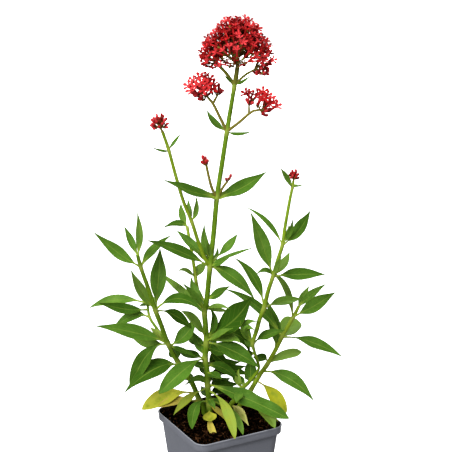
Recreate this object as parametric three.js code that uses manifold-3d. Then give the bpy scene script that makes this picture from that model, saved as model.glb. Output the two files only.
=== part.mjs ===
// A red valerian in flower, in a square nursery pot. Millimetres, +Z up.
// The origin is the middle of the pot's underside, and the pot's sides lie along X and Y.

import * as THREE from 'three';
import { mergeVertices } from 'three/addons/utils/BufferGeometryUtils.js';
import Module from 'manifold-3d';

const wasm = await Module();
wasm.setup();

// Driving dimensions.
const GAP = 0.3;
const POT = {
  rim: 90, height: 95, band: 7.5, step: 2.5, bodyTop: 83.5, foot: 65,
  draft: 1.5, wall: 1.2, floor: 2, corner: 10.5, hole: 7, holeInset: 11,
};
const COMPOST = { level: 89, bump: 1.6, clods: 5, rings: [0.84, 0.6, 0.37, 0.14] };
const ROOT_DEPTH = 24;
const STEM_SIDES = 5;
const TWIG_SIDES = 3;
const BLADE = {
  edge: 0.6, rib: 1.1, fold: 0.22, stalk: 1.6, stalkLong: 6, tip: 0.8, arch: 0.06, roll: 32,
  stalked: 9.5, small: 5,
};
const FLORET = { across: 10, lobes: 5, waist: 2, dish: 0.5, throat: 2.2, tube: 1.4, sunk: 2 };
const BUD = { long: 6, thick: 2.8, root: 0.4, tip: 0.9 };

const COLOURS = {
  pot: 0x6e6f74, compost: 0x1c120b, leaf: 0x3f7a24, flower: 0xcf2434,
  yellow: 0xc3bb3a, lime: 0x93a83a, amber: 0xc08a2e,
};

// The view that the plant is drawn in. A place on it is a column and a row in a
// picture 452 pixels wide and high, with how near it lies: the millimetres by which it
// stands before the pot's axis, towards the viewer.
const VIEW = {
  turn: THREE.MathUtils.degToRad(28.5), pitch: THREE.MathUtils.degToRad(19.43),
  distance: 1450, height: 793.3, side: 6, focal: 1734.4, middle: 226,
};
const UP = new THREE.Vector3(0, 0, 1);
const ACROSS = new THREE.Vector3(Math.cos(VIEW.turn), -Math.sin(VIEW.turn), 0);
const AWAY = new THREE.Vector3(Math.sin(VIEW.turn), Math.cos(VIEW.turn), 0);
const SIGHT = mix([AWAY, Math.cos(VIEW.pitch)], [UP, -Math.sin(VIEW.pitch)]);
const SCREEN_UP = mix([AWAY, Math.sin(VIEW.pitch)], [UP, Math.cos(VIEW.pitch)]);
const EYE = mix([AWAY, -VIEW.distance], [ACROSS, VIEW.side], [UP, VIEW.height]);

// Leafy stems. Each point of a stem is a column, a row and how near it is. The first
// point of a shoot stands over its hole in the compost. A leaf has its foot on the
// stem, its tip, how far the tip comes nearer than the foot, and its width in
// millimetres.
const MAIN_SHOOT = {
  thick: [5.2, 3.2],
  stem: [
    [210, 424, 4], [209, 403, 5], [207.5, 384, 6], [206.8, 369, 6], [205, 358.5, 6],
    [206.5, 342, 6], [205.3, 323, 6], [204.5, 312, 6], [206.8, 300, 7], [210, 267, 8],
    [213.7, 233, 6], [217, 197, 4], [222, 164, 2], [227, 131.5, 0], [230.8, 108, -1],
    [234.4, 86.6, -2],
  ],
  leaves: [
    { foot: [234, 89], via: [243, 81.5], tip: [250.5, 75], toward: 14, wide: 3.6 },
    { foot: [227, 131.5], tip: [206.5, 109.5], toward: -12, wide: 7 },
    { foot: [227, 131.5], via: [239, 134], tip: [252, 131], toward: 4, wide: 4 },
    { foot: [217, 197], via: [192, 191], tip: [164.5, 180], toward: 40, wide: 10 },
    { foot: [217, 197], via: [243, 190], tip: [265, 172.5], toward: -16, wide: 14 },
    { foot: [210, 267], tip: [149, 241], toward: 20, wide: 10.5 },
    { foot: [210, 262], tip: [177, 231], toward: -22, wide: 6 },
    { foot: [211, 260], tip: [193, 247], toward: 22, wide: 4 },
    { foot: [211, 258], tip: [204.5, 225], toward: -14, wide: 6 },
    { foot: [211, 260], tip: [207.5, 240], toward: 12, wide: 4 },
    { foot: [212, 257], tip: [218.5, 243], toward: -24, wide: 7 },
    { foot: [212, 257], tip: [237, 234.5], toward: -14, wide: 7.5 },
    { foot: [211, 259], tip: [253, 248], toward: 10, wide: 5 },
    { foot: [210, 265], tip: [228, 259], toward: 36, wide: 9 },
    { foot: [210, 267], tip: [254, 297.5], toward: 20, wide: 12.5 },
    { foot: [210, 267], tip: [212, 254], toward: -48, wide: 12 },
    { foot: [205, 311], tip: [158, 272], toward: -40, wide: 8 },
    { foot: [205, 308], tip: [182.5, 283], toward: 12, wide: 7 },
    { foot: [207, 298], tip: [191.5, 277.5], toward: 14, wide: 7 },
    { foot: [207, 298], tip: [229, 286], toward: 24, wide: 9 },
    { foot: [204.5, 312], via: [218, 304], tip: [227, 306.5], toward: 8, wide: 4 },
    { foot: [204.5, 312], tip: [224, 314], toward: -30, wide: 8 },
    { foot: [205, 316], tip: [201, 298], toward: -46, wide: 12 },
    { foot: [206.5, 338], tip: [182, 311.5], toward: 34, wide: 13.5 },
    { foot: [206, 338], tip: [249, 300], toward: 30, wide: 18 },
    { foot: [206.5, 342], tip: [258, 366], toward: 26, wide: 12.5 },
    { foot: [206.5, 338], tip: [233, 328.5], toward: 44, wide: 8 },
    { foot: [206.5, 339], tip: [239, 342.5], toward: -18, wide: 8 },
    { foot: [206, 337], tip: [210, 307], toward: 18, wide: 6 },
    { foot: [206, 340], tip: [217, 322], toward: -44, wide: 13 },
    { foot: [205, 356], tip: [192, 331], toward: -20, wide: 9 },
    { foot: [205, 358.5], via: [192, 359], tip: [159, 392], toward: 40, wide: 16 },
    { foot: [205, 358], tip: [177, 350], toward: -34, wide: 9 },
    { foot: [206, 362], tip: [238, 361], toward: -38, wide: 10 },
    { foot: [206.5, 366], via: [224, 367], tip: [242, 385], toward: 12, wide: 9 },
    { foot: [206.8, 377], tip: [200, 362], toward: -30, wide: 8 },
    { foot: [207.5, 384], via: [222, 384], tip: [288, 418], toward: 26, wide: 15 },
    { foot: [207.5, 386], via: [199, 378], tip: [184, 386], toward: 12, wide: 7 },
    { foot: [207.5, 388], tip: [230, 378], toward: -40, wide: 11 },
    { foot: [208, 392], tip: [231, 405], toward: 22, wide: 7 },
    { foot: [208.5, 396], via: [190, 394], tip: [174, 415], toward: 16, wide: 6 },
    { foot: [209, 402], via: [193, 403], tip: [192, 427], toward: 24, wide: 9 },
    { foot: [208.5, 398], tip: [215, 409], toward: 26, wide: 6 },
    { foot: [208, 392], via: [221, 399], tip: [236, 437], toward: 44, wide: 10 },
    { foot: [208.5, 400], via: [225, 401], tip: [242, 433], toward: 34, wide: 7 },
    { foot: [208.5, 398], tip: [201, 386], toward: -42, wide: 8 },
    { foot: [209, 401], tip: [222, 391], toward: -42, wide: 11 },
    { foot: [206, 347], tip: [226, 352], toward: 40, wide: 9 },
    { foot: [207, 372], tip: [222, 379], toward: 34, wide: 9 },
  ],
};

const TALL_BRANCH = {
  thick: [3, 2.1],
  stem: [
    [210, 265, 8], [205, 259, 10], [201, 249, 12], [197, 238, 14], [191.7, 221.5, 16],
    [184, 203, 18], [176.3, 177.7, 21], [168.6, 149.6, 25], [162.6, 132, 28],
  ],
  leaves: [
    { foot: [192, 221], tip: [195.5, 197], toward: 10, wide: 4.5 },
    { foot: [192, 221], tip: [188.5, 200], toward: -14, wide: 6 },
    { foot: [168.6, 149.6], via: [162, 150.5], tip: [152, 147.5], toward: 6, wide: 3.6 },
    { foot: [168.6, 149.6], tip: [181, 133], toward: -4, wide: 3.4 },
  ],
};

const SHORT_BRANCH = {
  thick: [2.8, 2],
  stem: [
    [205, 311, 6], [200, 300, -3], [196.5, 284, -13], [195.4, 277, -17], [193.5, 263, -24],
    [191, 248, -30], [189, 237, -34], [187, 226, -37],
  ],
  leaves: [
    { foot: [195.4, 277], via: [185, 268.5], tip: [179, 270.5], toward: 14, wide: 4.5 },
    { foot: [195.4, 277], tip: [206, 262], toward: -14, wide: 5 },
    { foot: [187.2, 227], tip: [180, 203], toward: -8, wide: 7 },
    { foot: [187.2, 227], via: [177, 220.5], tip: [163.5, 228], toward: 4, wide: 6 },
    { foot: [187.2, 227], tip: [192, 215], toward: -30, wide: 7 },
    { foot: [195.4, 277], tip: [200, 268], toward: -36, wide: 9 },
  ],
};

const LEFT_SHOOT = {
  thick: [4.2, 2.6],
  stem: [
    [204, 408, -12], [198.7, 398.7, -10], [191.8, 382.6, -6], [178, 362, 3],
    [168, 343.6, 11], [161.2, 325.2, 18], [155.3, 310, 23], [148.9, 290.3, 29],
    [140.7, 267, 35], [137.6, 255, 38],
  ],
  leaves: [
    { foot: [137.8, 256], tip: [125, 227], toward: -10, wide: 7 },
    { foot: [137.8, 256], tip: [137.4, 214.6], toward: 6, wide: 8.5 },
    { foot: [140.7, 267], tip: [95, 233], toward: 8, wide: 12 },
    { foot: [141, 267], tip: [170, 236], toward: -42, wide: 8 },
    { foot: [141, 267], tip: [146, 252], toward: -40, wide: 10 },
    { foot: [155.3, 310], tip: [160, 249], toward: -22, wide: 15 },
    { foot: [155, 309], tip: [131, 271], toward: 14, wide: 8.5 },
    { foot: [153, 303], tip: [145, 290], toward: -20, wide: 6 },
    { foot: [155.3, 310], via: [166, 301], tip: [194, 306], toward: 16, wide: 9 },
    { foot: [155.3, 311], via: [172, 316], tip: [195, 332], toward: 8, wide: 12.5 },
    { foot: [168, 343.6], via: [138, 333.5], tip: [98, 326.5], toward: 22, wide: 14 },
    { foot: [168, 343], tip: [134, 338], toward: -26, wide: 10 },
    { foot: [168, 344], via: [145, 350], tip: [130, 384], toward: 30, wide: 13.5 },
    { foot: [168, 343], tip: [150, 328], toward: 36, wide: 9 },
    { foot: [168, 344], tip: [190, 318], toward: -18, wide: 10 },
    { foot: [169, 345], tip: [197, 357], toward: 2, wide: 5 },
    { foot: [168, 343], tip: [175, 326], toward: -44, wide: 12 },
    { foot: [178, 362], via: [161, 360.5], tip: [126, 391], toward: 24, wide: 14.5 },
    { foot: [178, 362], tip: [171, 347], toward: -40, wide: 11 },
    { foot: [192, 383], tip: [184, 372], toward: -36, wide: 10 },
  ],
};

const LEFT_BRANCH = {
  thick: [2.6, 2],
  stem: [
    [168, 343.6, 11], [155, 326, -4], [149.5, 317, -10], [147.5, 305, -15], [147.2, 301, -16],
  ],
  leaves: [
    { foot: [147.4, 303], via: [116, 296], tip: [90, 307.5], toward: -8, wide: 9 },
    { foot: [147.4, 304], tip: [139.5, 306], toward: 16, wide: 5 },
    { foot: [149, 312], via: [137, 308.5], tip: [101, 303], toward: 14, wide: 10.5 },
    { foot: [149.5, 317], via: [137, 311.5], tip: [115, 325], toward: 4, wide: 8.5 },
    { foot: [148, 308], tip: [153, 296], toward: -34, wide: 10 },
  ],
};

const RIGHT_SHOOT = {
  thick: [3.6, 2.2],
  stem: [
    [238, 410, -9], [246, 398, -11], [250.5, 390.6, -12], [255.6, 381.9, -14], [261, 373, -16],
    [267.5, 364, -18], [276, 349, -22], [282, 337, -25], [287, 328, -28], [292.7, 318, -31],
    [296, 312, -33], [298.6, 306.5, -35],
  ],
  leaves: [
    { foot: [298, 308], tip: [309, 286], toward: -6, wide: 7 },
    { foot: [298.4, 307], tip: [325, 284], toward: 6, wide: 8.5 },
    { foot: [293.5, 317], via: [307, 309], tip: [333.5, 293.5], toward: 12, wide: 12 },
    { foot: [298, 307], tip: [313.5, 288.5], toward: -22, wide: 7 },
    { foot: [292.7, 318], via: [285, 287], tip: [257.5, 274.5], toward: 32, wide: 7 },
    { foot: [282, 337], via: [257, 305], tip: [227.5, 290.5], toward: -14, wide: 7 },
    { foot: [278, 345], tip: [268, 299], toward: -20, wide: 12.5 },
    { foot: [282.5, 336.5], tip: [298, 318], toward: -36, wide: 17 },
    { foot: [282, 337], via: [298, 335.5], tip: [340.5, 355], toward: 14, wide: 12.5 },
    { foot: [267.5, 364], tip: [300.5, 352], toward: -8, wide: 8 },
    { foot: [262, 371], via: [283, 378], tip: [312.5, 399], toward: 16, wide: 13 },
    { foot: [273, 354], tip: [256, 357], toward: -24, wide: 9 },
    { foot: [263, 370], tip: [272, 357], toward: -44, wide: 12 },
    { foot: [255, 383], tip: [246, 371], toward: -38, wide: 11 },
    { foot: [284, 334], tip: [262, 333], toward: -30, wide: 11 },
    { foot: [251, 390], tip: [262, 380], toward: -40, wide: 11 },
  ],
};

const FLOWERING_SHOOT = {
  thick: [3.8, 1.7],
  stem: [
    [228, 412, 4], [236, 398, 6], [241.8, 388.6, 8], [249, 382, 10], [257.7, 371.2, 13],
    [259, 366, 15], [257, 360, 17], [254, 350, 20], [252.7, 343, 22], [256.5, 330.6, 25],
    [260, 318, 28], [264.2, 307.7, 30], [268.1, 291.2, 32], [273, 276.5, 33],
    [277.9, 259.6, 33], [282.5, 245, 33], [284.9, 228, 32], [289.8, 200, 30],
    [292.6, 186.7, 29], [293.4, 181, 29],
  ],
  leaves: [
    { foot: [249, 382], tip: [250, 358], toward: -10, wide: 8 },
    { foot: [241, 390], tip: [236, 403], toward: 24, wide: 8 },
    { foot: [238, 395], via: [256, 401], tip: [272.5, 427], toward: 24, wide: 9.5 },
    { foot: [252.7, 343], tip: [238, 322], toward: 14, wide: 7 },
    { foot: [252.7, 343], tip: [255.5, 322.5], toward: 24, wide: 6 },
    { foot: [252.7, 344], via: [262, 335.5], tip: [285, 330], toward: 14, wide: 7.5 },
    { foot: [253.5, 348], tip: [244, 340], toward: -16, wide: 6 },
    { foot: [255, 353], tip: [236, 359], toward: -14, wide: 9 },
    { foot: [245, 385], tip: [231, 374], toward: -22, wide: 9 },
    { foot: [264.2, 307.7], tip: [301, 300], toward: -40, wide: 10 },
    { foot: [264.2, 307.7], via: [257, 291], tip: [235, 259], toward: -12, wide: 9 },
    { foot: [264.2, 308], tip: [263, 297], toward: 40, wide: 9 },
    { foot: [273, 276.5], via: [260, 249], tip: [252, 214.5], toward: 10, wide: 14.5 },
    { foot: [273, 276.5], via: [297, 273.5], tip: [323.5, 274], toward: -10, wide: 11 },
    { foot: [273, 276], tip: [289, 253], toward: -22, wide: 8 },
    { foot: [273, 276], tip: [281.5, 257], toward: 20, wide: 5 },
    { foot: [282.5, 245], via: [265, 221], tip: [247, 208], toward: -8, wide: 6 },
    { foot: [282.5, 245], via: [299, 231], tip: [309, 212], toward: 10, wide: 11.5 },
    { foot: [283, 243], tip: [288.5, 214], toward: -10, wide: 5 },
    { foot: [283, 243], tip: [292.5, 220], toward: 16, wide: 5 },
    { foot: [292.5, 187], tip: [280.5, 168], toward: 6, wide: 5 },
    { foot: [292.5, 187], tip: [305, 184.5], toward: -4, wide: 3.4 },
  ],
};

// Faded leaves, each on the stem it grew from. Their tips hang over the compost and
// the pot's rim.
const FADED_LEAVES = [
  { name: 'faded_leaf_left', on: LEFT_SHOOT, colour: COLOURS.yellow,
    foot: [197, 395], via: [179, 388], tip: [143, 408.5], toward: 24, wide: 15 },
  { name: 'faded_leaf_left_corner', on: LEFT_SHOOT, colour: COLOURS.amber,
    foot: [201, 403], via: [181, 401], tip: [158, 406], toward: 14, wide: 5 },
  { name: 'faded_leaf_front_left', on: MAIN_SHOOT, colour: COLOURS.yellow,
    foot: [209, 411], tip: [199, 418.5], toward: 20, wide: 7 },
  { name: 'faded_leaf_front', on: MAIN_SHOOT, colour: COLOURS.amber,
    foot: [209.5, 414], via: [213, 420], tip: [219, 438], toward: 36, wide: 7.5 },
  { name: 'faded_leaf_front_right', on: FLOWERING_SHOOT, colour: COLOURS.yellow,
    foot: [230, 408], tip: [248, 424], toward: 20, wide: 7 },
  { name: 'faded_leaf_right', on: RIGHT_SHOOT, colour: COLOURS.lime,
    foot: [241, 405], via: [261, 406], tip: [278, 421.5], toward: 28, wide: 6.5 },
  { name: 'faded_leaf_right_corner', on: RIGHT_SHOOT, colour: COLOURS.yellow,
    foot: [257, 379], via: [273, 387], tip: [286, 411], toward: 16, wide: 11 },
];

// Flower heads. The florets' faces lie on a dome, and each stands on a twig from the
// nearest fork of the head's stalks. The dome's last places hold buds.
const HEADS = [
  { name: 'main_flower_head', on: MAIN_SHOOT, thick: 3,
    stalks: [
      [[234.7, 84.6, -2], [237.2, 69, -2], [238, 60, -2]],
      [[234.7, 84.6, -2], [217, 64, -4]],
      [[234.7, 84.6, -2], [254, 70, 2]],
      [[237.2, 69, -2], [236, 66, 14]],
      [[237.2, 69, -2], [239, 56, -17]],
    ],
    dome: { centre: [236.5, 57, -1], wide: 33, high: 33, reach: 102, count: 76, open: 68 },
    extra: [[203, 63, 8], [208.5, 66.5, 0], [262, 73.5, 4], [268, 71.5, -5], [266, 66, 10]] },
  { name: 'left_flower_head', on: MAIN_SHOOT, thick: 2,
    stalks: [
      [[227, 131.5, 0], [219, 113, 2], [213.5, 103, 3], [206, 96, 4]],
      [[213.5, 103, 3], [218, 94, 2]],
    ],
    dome: { centre: [203, 91, 4], wide: 14, high: 13, reach: 98, count: 16, open: 14 },
    extra: [[219, 83, 2], [223.5, 88.5, 2], [193, 94.5, 6], [198.5, 99, 4]] },
  { name: 'right_flower_head', on: MAIN_SHOOT, thick: 2,
    stalks: [
      [[227, 131.5, 0], [240, 121, 4], [249, 113, 6], [254, 110, 7], [261, 109, 8]],
      [[249, 113, 6], [248.5, 104, 6]],
    ],
    dome: { centre: [262, 104, 8], wide: 15, high: 11, reach: 84, count: 15, open: 14 },
    extra: [[246, 96, 6], [268, 110, 16], [267, 116, 6]] },
  { name: 'tall_bud_head', on: TALL_BRANCH, thick: 2,
    stalks: [[[162.6, 132, 28], [159.8, 126, 28]]],
    dome: { centre: [159.5, 123, 28], wide: 8, high: 8, reach: 110, count: 13, open: 0 } },
  { name: 'left_bud_stalk', on: MAIN_SHOOT, thick: 1.7,
    stalks: [[[217, 197, 4], [213, 191, 6], [210, 182, 8], [206, 165, 9]]],
    extra: [[203.5, 153.5, 9], [208.2, 157, 7], [201, 160.5, 12]] },
  { name: 'right_bud_stalk', on: MAIN_SHOOT, thick: 1.7,
    stalks: [[[217, 197, 4], [219.5, 194, 4], [223, 187, 5], [227.5, 181.5, 6]]],
    extra: [[231, 173.8, 6], [226.5, 177.5, 9]] },
  { name: 'right_bud_head', on: FLOWERING_SHOOT, thick: 1.7,
    stalks: [[[293.4, 181, 29], [294.2, 177, 29]]],
    dome: { centre: [294.6, 175, 29], wide: 4, high: 5, reach: 80, count: 6, open: 0 } },
];

function mix(...terms) {
  const sum = new THREE.Vector3();
  for (const [direction, amount] of terms) sum.addScaledVector(direction, amount);
  return sum;
}

function seen([column, row], near) {
  const ray = mix(
    [SIGHT, 1],
    [ACROSS, (column - VIEW.middle) / VIEW.focal],
    [SCREEN_UP, (VIEW.middle - row) / VIEW.focal],
  );
  return EYE.clone().addScaledVector(ray, (VIEW.distance - near) / ray.dot(AWAY));
}

// A closed skin through rings of points, with a flat cap at each end. Quads are split
// alike on the two halves of the ring, so a thin waved blade keeps its thickness.
function loft(rings) {
  const sides = rings[0].length;
  const last = (rings.length - 1) * sides;
  const indices = [];
  for (let ring = 0; ring < rings.length - 1; ring += 1) {
    for (let side = 0; side < sides; side += 1) {
      const a = ring * sides + side;
      const b = ring * sides + (side + 1) % sides;
      const [c, d] = [b + sides, a + sides];
      if (side < sides / 2) indices.push(a, b, c, a, c, d);
      else indices.push(a, b, d, b, c, d);
    }
  }
  for (let side = 1; side < sides - 1; side += 1) {
    indices.push(0, side + 1, side, last, last + side, last + side + 1);
  }
  const geometry = new THREE.BufferGeometry().setFromPoints(rings.flat());
  geometry.setIndex(indices);
  return geometry;
}

function solid(geometry) {
  const bare = geometry.clone();
  bare.deleteAttribute('normal');
  bare.deleteAttribute('uv');
  const merged = mergeVertices(bare, 1e-4);
  return new wasm.Manifold(new wasm.Mesh({
    numProp: 3,
    vertProperties: new Float32Array(merged.attributes.position.array),
    triVerts: new Uint32Array(merged.index.array),
  }));
}

function join(solids) {
  return wasm.Manifold.union(solids);
}

function geometryOf(body) {
  const mesh = body.getMesh();
  const geometry = new THREE.BufferGeometry();
  geometry.setAttribute('position', new THREE.BufferAttribute(mesh.vertProperties, 3));
  geometry.setIndex(new THREE.BufferAttribute(mesh.triVerts, 1));
  geometry.computeVertexNormals();
  return geometry;
}

// A tapered limb through places, with a radius at each. Its sides run on without a twist.
function limb(places, radii, sides) {
  let side;
  const rings = places.map((place, index) => {
    const before = places[Math.max(index - 1, 0)];
    const after = places[Math.min(index + 1, places.length - 1)];
    const along = after.clone().sub(before).normalize();
    side ??= new THREE.Vector3().crossVectors(Math.abs(along.z) > 0.9 ? ACROSS : UP, along);
    side = side.clone().addScaledVector(along, -side.dot(along)).normalize();
    const top = new THREE.Vector3().crossVectors(along, side);
    return Array.from({ length: sides }, (_, corner) => {
      const angle = (corner / sides) * 2 * Math.PI;
      const reach = radii[index];
      return mix([place, 1], [side, reach * Math.cos(angle)], [top, reach * Math.sin(angle)]);
    });
  });
  return loft(rings);
}

function stemPlaces(shoot) {
  return shoot.stem.map(([column, row, near]) => seen([column, row], near));
}

function stemLimb(shoot, { rooted = false, extra = 0 } = {}) {
  const places = stemPlaces(shoot);
  if (rooted) places.unshift(places[0].clone().setZ(COMPOST.level - ROOT_DEPTH));
  const [foot, top] = shoot.thick;
  const radii = places.map((_, index) => {
    return THREE.MathUtils.lerp(foot, top, index / (places.length - 1)) / 2 + extra;
  });
  return limb(places, radii, STEM_SIDES);
}

// The place on a stem's middle line that lies closest to a point of the picture.
function footOn(shoot, [column, row]) {
  const places = stemPlaces(shoot);
  const point = new THREE.Vector2(column, row);
  let best = { distance: Infinity };
  for (let index = 0; index < places.length - 1; index += 1) {
    const [from, to] = [index, index + 1].map((at) => new THREE.Vector2(...shoot.stem[at].slice(0, 2)));
    const span = to.clone().sub(from);
    const share = THREE.MathUtils.clamp(point.clone().sub(from).dot(span) / span.lengthSq(), 0, 1);
    const distance = from.addScaledVector(span, share).distanceTo(point);
    if (distance < best.distance) {
      best = { distance, place: places[index].clone().lerp(places[index + 1], share) };
    }
  }
  return best.place;
}

function leafSpine(shoot, { foot, tip, via, toward }) {
  const root = footOn(shoot, foot);
  const near = -root.dot(AWAY);
  const end = seen(tip, near + toward);
  const middle = via
    ? seen(via, near + toward / 2)
    : mix([root, 0.5], [end, 0.5], [UP, BLADE.arch * root.distanceTo(end)]);
  const bend = mix([middle, 2], [root, -0.5], [end, -0.5]);
  return new THREE.QuadraticBezierCurve3(root, bend, end);
}

// The leaf's width along its blade: widest before the middle, drawn out to the tip.
function leafHalfWidth(share, wide) {
  return Math.max((wide / 2) * Math.sin(Math.PI * share ** 0.85) ** 0.9, BLADE.tip / 2);
}

function leafBlade(shoot, leaf) {
  const spine = leafSpine(shoot, leaf);
  const long = spine.getLength();
  const stalkEnd = THREE.MathUtils.clamp(BLADE.stalkLong / long, 0.1, 0.3);
  const stalked = leaf.wide > BLADE.stalked;
  const start = stalked ? stalkEnd : 0;
  const shares = leaf.wide > BLADE.small ? [0.28, 0.62, 1] : [0.42, 1];
  const stations = shares.map((share) => ({
    at: start + (1 - start) * share, half: leafHalfWidth(share, leaf.wide),
  }));
  if (stalked) stations.unshift({ at: stalkEnd, half: BLADE.stalk / 2 });
  stations.unshift({ at: 0, half: BLADE.stalk / 2 });
  const roll = THREE.MathUtils.degToRad(leaf.roll ?? BLADE.roll);
  const facing = mix([SIGHT, -Math.cos(roll)], [UP, Math.sin(roll)]);
  const rings = stations.map(({ at, half }) => {
    const place = spine.getPoint(at);
    const along = spine.getTangent(at);
    const side = new THREE.Vector3().crossVectors(along, facing).normalize();
    const top = new THREE.Vector3().crossVectors(side, along);
    const corner = (across, lift) => place.clone().addScaledVector(side, across).addScaledVector(top, lift);
    const drop = -BLADE.fold * (half - BLADE.tip / 2);
    return [
      corner(-half, BLADE.edge / 2), corner(0, drop + BLADE.rib / 2), corner(half, BLADE.edge / 2),
      corner(half, -BLADE.edge / 2), corner(0, drop - BLADE.rib / 2), corner(-half, -BLADE.edge / 2),
    ];
  });
  return loft(rings);
}

function shootSolids(shoot, options) {
  return [stemLimb(shoot, options), ...shoot.leaves.map((leaf) => leafBlade(shoot, leaf))].map(solid);
}

// One open floret: a five-lobed star on a throat, drawn out to a point at its root.
function floret(root, face, spin) {
  const count = FLORET.lobes;
  const around = (corner, reach, height) => {
    const angle = spin + (corner / count) * Math.PI;
    return new THREE.Vector3(reach * Math.cos(angle), reach * Math.sin(angle), height);
  };
  const lobes = Array.from({ length: count }, (_, lobe) => lobe);
  const points = [
    ...lobes.map((lobe) => around(2 * lobe, FLORET.across / 2, 0)),
    ...lobes.map((lobe) => around(2 * lobe + 1, FLORET.waist, -FLORET.dish / 2)),
    ...lobes.map((lobe) => around(2 * lobe + 1, FLORET.tube / 2, -FLORET.throat)),
    new THREE.Vector3(0, 0, -FLORET.dish),
    new THREE.Vector3(0, 0, -root.distanceTo(face)),
  ];
  const [middle, end] = [3 * count, 3 * count + 1];
  const indices = lobes.flatMap((tip) => {
    const nextTip = (tip + 1) % count;
    const [waist, throat, nextThroat] = [count + tip, 2 * count + tip, 2 * count + nextTip];
    return [
      middle, tip, waist, middle, waist, nextTip,
      waist, tip, throat, nextTip, waist, throat,
      nextTip, throat, nextThroat, nextThroat, throat, end,
    ];
  });
  const star = new THREE.BufferGeometry().setFromPoints(points);
  star.setIndex(indices);
  const along = face.clone().sub(root).normalize();
  return star.applyQuaternion(new THREE.Quaternion().setFromUnitVectors(UP, along))
    .translate(...face.toArray());
}

function bud(root, tip) {
  const long = root.distanceTo(tip);
  const neck = root.clone().lerp(tip, Math.max(1 - BUD.long / long, 0.2));
  const swell = neck.clone().lerp(tip, 0.6);
  const radii = [BUD.root, FLORET.tube, BUD.thick, BUD.tip].map((across) => across / 2);
  return limb([root, neck, swell, tip], radii, TWIG_SIDES);
}

// Places spread evenly over a dome, from its top down to the reach, in degrees.
function domePlaces({ centre, wide, high, reach, count }) {
  const [column, row, near] = centre;
  const middle = seen([column, row], near);
  const lowest = 1 - Math.cos(THREE.MathUtils.degToRad(reach));
  const golden = Math.PI * (3 - Math.sqrt(5));
  return Array.from({ length: count }, (_, index) => {
    const rise = 1 - (lowest * (index + 0.5)) / count;
    const out = Math.sqrt(1 - rise * rise);
    const turn = index * golden;
    return mix(
      [middle, 1],
      [ACROSS, wide * out * Math.cos(turn)],
      [AWAY, wide * out * Math.sin(turn)],
      [UP, high * rise],
    );
  });
}

function headSolids(head) {
  const stalks = head.stalks.map((stalk) => stalk.map(([column, row, near]) => seen([column, row], near)));
  const forks = stalks.map((places) => {
    const [before, end] = places.slice(-2);
    return end.clone().addScaledVector(before.clone().sub(end).normalize(), FLORET.sunk);
  });
  const nearestFork = (place) => {
    return forks.reduce((best, fork) => (fork.distanceTo(place) < best.distanceTo(place) ? fork : best));
  };
  const shapes = stalks.map((places) => {
    const radii = places.map((_, index) => (head.thick / 2) * (1 - (0.25 * index) / (places.length - 1)));
    return limb(places, radii, STEM_SIDES);
  });
  const places = head.dome ? domePlaces(head.dome) : [];
  places.forEach((place, index) => {
    const fork = nearestFork(place);
    shapes.push(index < head.dome.open ? floret(fork, place, index) : bud(fork, place));
  });
  for (const [column, row, near] of head.extra ?? []) {
    const place = seen([column, row], near);
    shapes.push(bud(nearestFork(place), place));
  }
  return shapes.map(solid);
}

// A square ring with round corners, level at one height.
function squareRing(size, corner, height, perCorner = 4) {
  const inner = size / 2 - corner;
  const ring = [];
  for (let quarter = 0; quarter < 4; quarter += 1) {
    const turn = (quarter * Math.PI) / 2;
    const middle = new THREE.Vector2(inner, inner).rotateAround(new THREE.Vector2(), turn);
    for (let step = 0; step < perCorner; step += 1) {
      const angle = turn + (step / (perCorner - 1)) * (Math.PI / 2);
      ring.push(new THREE.Vector3(
        middle.x + corner * Math.cos(angle), middle.y + corner * Math.sin(angle), height,
      ));
    }
  }
  return ring;
}

function bodySize(height) {
  const share = height / (POT.height - POT.band - POT.step);
  return THREE.MathUtils.lerp(POT.foot, POT.bodyTop, share);
}

function potBody() {
  const bandFoot = POT.height - POT.band;
  const inset = 2 * POT.wall;
  const ring = (size, height) => squareRing(size, (POT.corner * size) / POT.rim, height);
  const shell = solid(loft([
    ring(POT.foot, 0),
    ring(POT.bodyTop, bandFoot - POT.step),
    ring(POT.rim - POT.draft, bandFoot),
    ring(POT.rim, POT.height),
    ring(POT.rim - inset, POT.height),
    ring(POT.bodyTop - inset, bandFoot - POT.step),
    ring(bodySize(POT.floor) - inset, POT.floor),
  ]));
  const drains = [];
  for (const x of [-1, 1]) {
    for (const y of [-1, 1]) {
      const reach = POT.foot / 2 - POT.holeInset;
      const drain = new THREE.CylinderGeometry(POT.hole / 2, POT.hole / 2, 4 * POT.floor, 10);
      drains.push(solid(drain.rotateX(Math.PI / 2).translate(x * reach, y * reach, 0)));
    }
  }
  return shell.subtract(join(drains));
}

function compostBody(stems) {
  const stepFoot = POT.height - POT.band - POT.step;
  const clear = 2 * (POT.wall + GAP);
  const level = (size, height) => squareRing(size, (POT.corner * size) / POT.rim, height);
  const lumpy = (size) => level(size, COMPOST.level).map((place, index) => {
    const wave = Math.sin(COMPOST.clods * place.x) * Math.cos(COMPOST.clods * place.y + index);
    return place.setZ(COMPOST.level + COMPOST.bump * wave);
  });
  const top = POT.bodyTop - clear;
  const fill = solid(loft([
    level(bodySize(POT.floor) - clear, POT.floor + GAP),
    level(top, stepFoot),
    level(top, COMPOST.level - COMPOST.bump),
    ...COMPOST.rings.map((share) => lumpy(top * share)),
  ]));
  return fill.subtract(join(stems));
}

function addNode(group, name, body, colour, roughness = 0.7) {
  const material = new THREE.MeshStandardMaterial({ color: colour, roughness, metalness: 0 });
  const mesh = new THREE.Mesh(geometryOf(body), material);
  mesh.name = name;
  group.add(mesh);
}

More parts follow.
